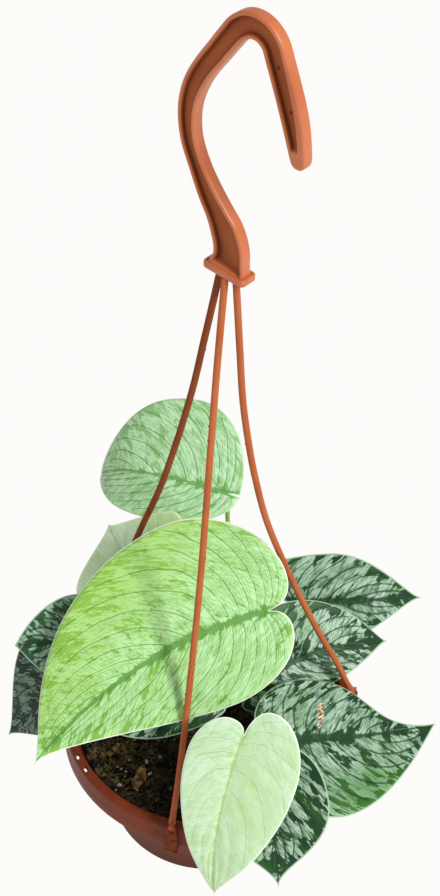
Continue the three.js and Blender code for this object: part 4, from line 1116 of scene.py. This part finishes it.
def hookRings():
    # rings along the hook, and how much painted shade lies at each point
    line = curveThrough(hookLine, 220)
    centres, widths = line[:, :2], line[:, 2]
    tangents = np.gradient(centres, axis=0)
    tangents /= np.linalg.norm(tangents, axis=1)[:, None]
    gone = np.concatenate([[0], np.cumsum(np.linalg.norm(np.diff(centres, axis=0), axis=1))])
    left = gone[-1] - gone
    half, web, flange, hollowShade = hanger["thickness"] / 2, hanger["web"] / 2, hanger["flange"], hanger["hollowShade"]
    rings, hollows = [], []
    for centre, tangent, wide, fromPlate, fromTip in zip(centres, tangents, widths, gone, left):
        # a rounded tip, a foot that widens to the plate, and a hollow that ends before both
        tip = math.sqrt(max(1 - max(1 - fromTip / 2.6, 0) ** 2, 0.003))
        width = wide / 2 * tip
        thick = half * (0.55 + 0.45 * tip) + 0.9 * float(smoothStep(-fromPlate, -4, 0))
        depth = (thick - web) * float(smoothStep(fromPlate, 1.5, 3.5)) * float(smoothStep(fromTip, 7, 10))
        depth = max(depth, 0.001)
        r = min(hanger["edgeRadius"], width * 0.6)
        run = []
        for k in range(5):  # outer corner
            a = math.pi / 2 * k / 4
            run.append((-width + r - r * math.cos(a), thick - r + r * math.sin(a)))
        wall = min(0.75, depth * 0.6 + 0.05)
        floorEdge = max(width - flange, 0.35)
        outerEdge = max(floorEdge - 1.5 * float(smoothStep(-fromTip, -55, -12)), 0.3)
        for k in range(5):  # into the hollow
            a = k / 4
            ease = a * a * (3 - 2 * a)
            run.append((-floorEdge + wall * a - 0.3 * (1 - a), thick - depth * ease))
        for a in (0.3, 0.65):  # across the hollow's floor
            run.append(((-floorEdge + wall) * (1 - a), thick - depth))
        mirrored = [(-x if -x > width - 0.95 else -x * outerEdge / floorEdge, y) for x, y in reversed(run)]
        upper = run + mirrored
        lower = [(x, -y) for x, y in reversed(upper)]
        ring = []
        across = np.array([-tangent[1], tangent[0]])
        for x, y in upper + lower:
            p = centre + across * x
            ring.append((p[0], y, p[1]))
        rings.append(np.array(ring))
        # painted shade where the hollow's walls meet its floor, most on the side away from the mouth
        for share, (x, y) in zip((hollowShade + hollowShade[::-1]) * 2, upper + lower):
            sideways = max(-1, min(1, across[0] * x / floorEdge))
            hollows.append(share * min(depth, 1) * (0.68 - 0.28 * sideways))
    return rings, hollows


rings, hollows = hookRings()
hookPoints, hookFaces = ringsToSkin(rings)


def roundedPlate(size, bottom, radius, lip):
    # plate with rounded corners, a soft top edge and a low raised border
    lx, ly, lz = size
    rings = []
    for inset, z in [(0.5, 0), (0.12, 0.15), (0, 0.5), (0, lz - 0.6), (0.15, lz - 0.15), (0.5, lz), (lip, lz),
                     (lip + 0.35, lz - 0.6)]:
        ring = []
        r = max(radius - inset, 0.3)
        for cx, cy, a0 in ((1, 1, 0), (-1, 1, 90), (-1, -1, 180), (1, -1, 270)):
            for k in range(7):
                a = math.radians(a0 + 15 * k)
                ring.append((cx * (lx / 2 - inset - r) + r * math.cos(a),
                             cy * (ly / 2 - inset - r) + r * math.sin(a), bottom + z))
        rings.append(np.array(ring))
    return ringsToSkin(rings)


platePoints, plateFaces = roundedPlate(hanger["plate"], hanger["plateBottom"], hanger["plateCorner"],
                                       hanger["plateLip"])
platePoints = platePoints + (hanger["plateOffset"], 0, 0)
# faint round marks in the hollow where the mould's pins pushed the part out
pins = []
for s, z in hanger["pinMarks"]:
    for face in (-1, 1):
        path = [(s, face * (hanger["web"] / 2 + out), z) for out in (-0.3, 0.06, 0.12)]
        pins.append(tube(path, (0.7, 0.7, 0.5), 20))
points, faces = joined([(hookPoints, hookFaces), (platePoints, plateFaces)] + pins)
hook = newPiece("hook_moulded", spin(points, math.radians(hanger["angle"])), faces, [hangerPlastic],
                ["hook"], hanger["smoothAngle"])
pinPoints = len(hook.data.vertices) - len(hollows) - len(platePoints)
setShadeAndGrime(hook, hollows + [0.0] * len(platePoints) + [hanger["pinGrime"]] * pinPoints)


def makeStrand(strand, seed):
    pick = random.Random(seed)
    line = []
    for r, z in strandCurve:
        swing = max(math.sin(math.pi * (z / 280) ** strand["lean"]), 0) if z < 280 else 0
        out = strand["bow"] * swing * min(1, z / 20)
        settled = strand["settle"] * math.exp(-((z - 8) / 6) ** 2)
        line.append((r + out - settled, 0, z))
    path = curveThrough(line, 260)
    path = path[path[:, 2] < 279.7]
    radius = hanger["strand"] / 2
    radii = radius + 0.3 * smoothStep(-path[:, 2], -10, 0)
    rod = tube(path, radii, 20)
    # gate marks: small beads left along the rod by the mould, each (height, heading)
    beads = []
    for height, heading in strand["marks"]:
        i = int(np.argmin(np.abs(path[:, 2] - height)))
        turn = math.radians(heading - strand["angle"])
        away = np.array([math.cos(turn), math.sin(turn), 0.0]) * radii[i] * 0.75
        beads.append(lump(pick.uniform(0.55, 0.75), path[i] + away, (0.9, 0.9, 1.2), height, 2))
    # tab over the skirt, with slightly raised edges
    face, outer = hanger["tabFace"], hanger["tabFace"] + hanger["tabThickness"]
    edge = 0.35
    rings = []
    for z, half in hanger["tabRows"]:
        ring = [(face + edge, -half), (face, -half + edge), (face, half - edge), (face + edge, half),
                (outer - 0.1, half), (outer, half - 0.3), (outer, half - 0.75), (outer - 0.3, half - 1.1),
                (outer - 0.3, -half + 1.1), (outer, -half + 0.75), (outer, -half + 0.3), (outer - 0.1, -half)]
        rings.append(np.array([(x, -y, z) for x, y in ring]))
    tab = ringsToSkin(rings)
    lip = boxPoints(hanger["lip"], hanger["lipPlace"], 0)
    points, faces = joined([rod, tab, lip] + beads)
    piece = newPiece(strand["name"] + "_moulded", spin(points, math.radians(strand["angle"])), faces,
                     [hangerPlastic], [strand["name"]], hanger["smoothAngle"])
    # painted shade on strand_back's rod, darker tabs, and grime on the gate marks
    amounts = np.full(len(piece.data.vertices), strand["shadeAndGrime"])
    tabStart, beadStart = len(rod[0]), len(rod[0]) + len(tab[0]) + len(lip[0])
    amounts[tabStart:beadStart] = strand["tabDarker"]
    amounts[beadStart:] = hanger["beadGrime"]
    setShadeAndGrime(piece, amounts.tolist())


for k, strand in enumerate(strands):
    makeStrand(strand, 5 + k)
print("hanger made")

# Plain pale floor far below, even world light and one soft sun.
studio = {
    "floor": "#F4F3F1", "floorDrop": -1.25, "floorHalf": 60.0, "world": 0.5, "sunPower": 2.65,
    "sunSpread": 12.0, "sunFrom": (0.52, -0.5, 0.7),
}
camera = {"place": (0.0, -548.6, 694.6), "pitch": 43.01, "roll": 2.36, "lens": 68.303571, "sensor": 36}

cameraData = bpy.data.cameras.new("camera")
cameraObject = bpy.data.objects.new("camera", cameraData)
scene.collection.objects.link(cameraObject)
cameraData.sensor_width = camera["sensor"]
cameraData.lens = camera["lens"]
cameraData.clip_start, cameraData.clip_end = 0.01, 100
pitch, roll = math.radians(camera["pitch"]), math.radians(camera["roll"])
forward = Vector((0, math.cos(pitch), -math.sin(pitch)))
sideways = Vector((1, 0, 0))
upwards = sideways.cross(forward)
tilted = sideways * math.cos(roll) + upwards * math.sin(roll)
lifted = upwards * math.cos(roll) - sideways * math.sin(roll)
cameraPose = Matrix((tilted, lifted, -forward)).transposed().to_4x4()
cameraPose.translation = Vector((np.array(camera["place"]) + rimCentre) * mm)
cameraObject.matrix_world = cameraPose
scene.camera = cameraObject

world = bpy.data.worlds.new("studio")
scene.world = world
world.use_nodes = True
sky = world.node_tree.nodes["Background"]
sky.inputs["Color"].default_value = (1, 1, 1, 1)
sky.inputs["Strength"].default_value = studio["world"]

sunData = bpy.data.lights.new("key", "SUN")
sunData.energy = studio["sunPower"]
sunData.angle = math.radians(studio["sunSpread"])
sun = bpy.data.objects.new("key", sunData)
scene.collection.objects.link(sun)
sun.rotation_euler = Vector(studio["sunFrom"]).to_track_quat("Z", "Y").to_euler()

floorMesh = bpy.data.meshes.new("floor")
h = studio["floorHalf"]
floorMesh.from_pydata([(-h, -h, 0), (h, -h, 0), (h, h, 0), (-h, h, 0)], [], [(0, 1, 2, 3)])
floor = bpy.data.objects.new("floor", floorMesh)
floor.location = (0, 0, studio["floorDrop"])
scene.collection.objects.link(floor)
floorPaint = newMaterial("mattFloorPaint", Roughness=0.9, Base_Color=toLinear(studio["floor"]))[0]
floorMesh.materials.append(floorPaint)
scene.view_settings.view_transform = "Standard"
print("studio made")
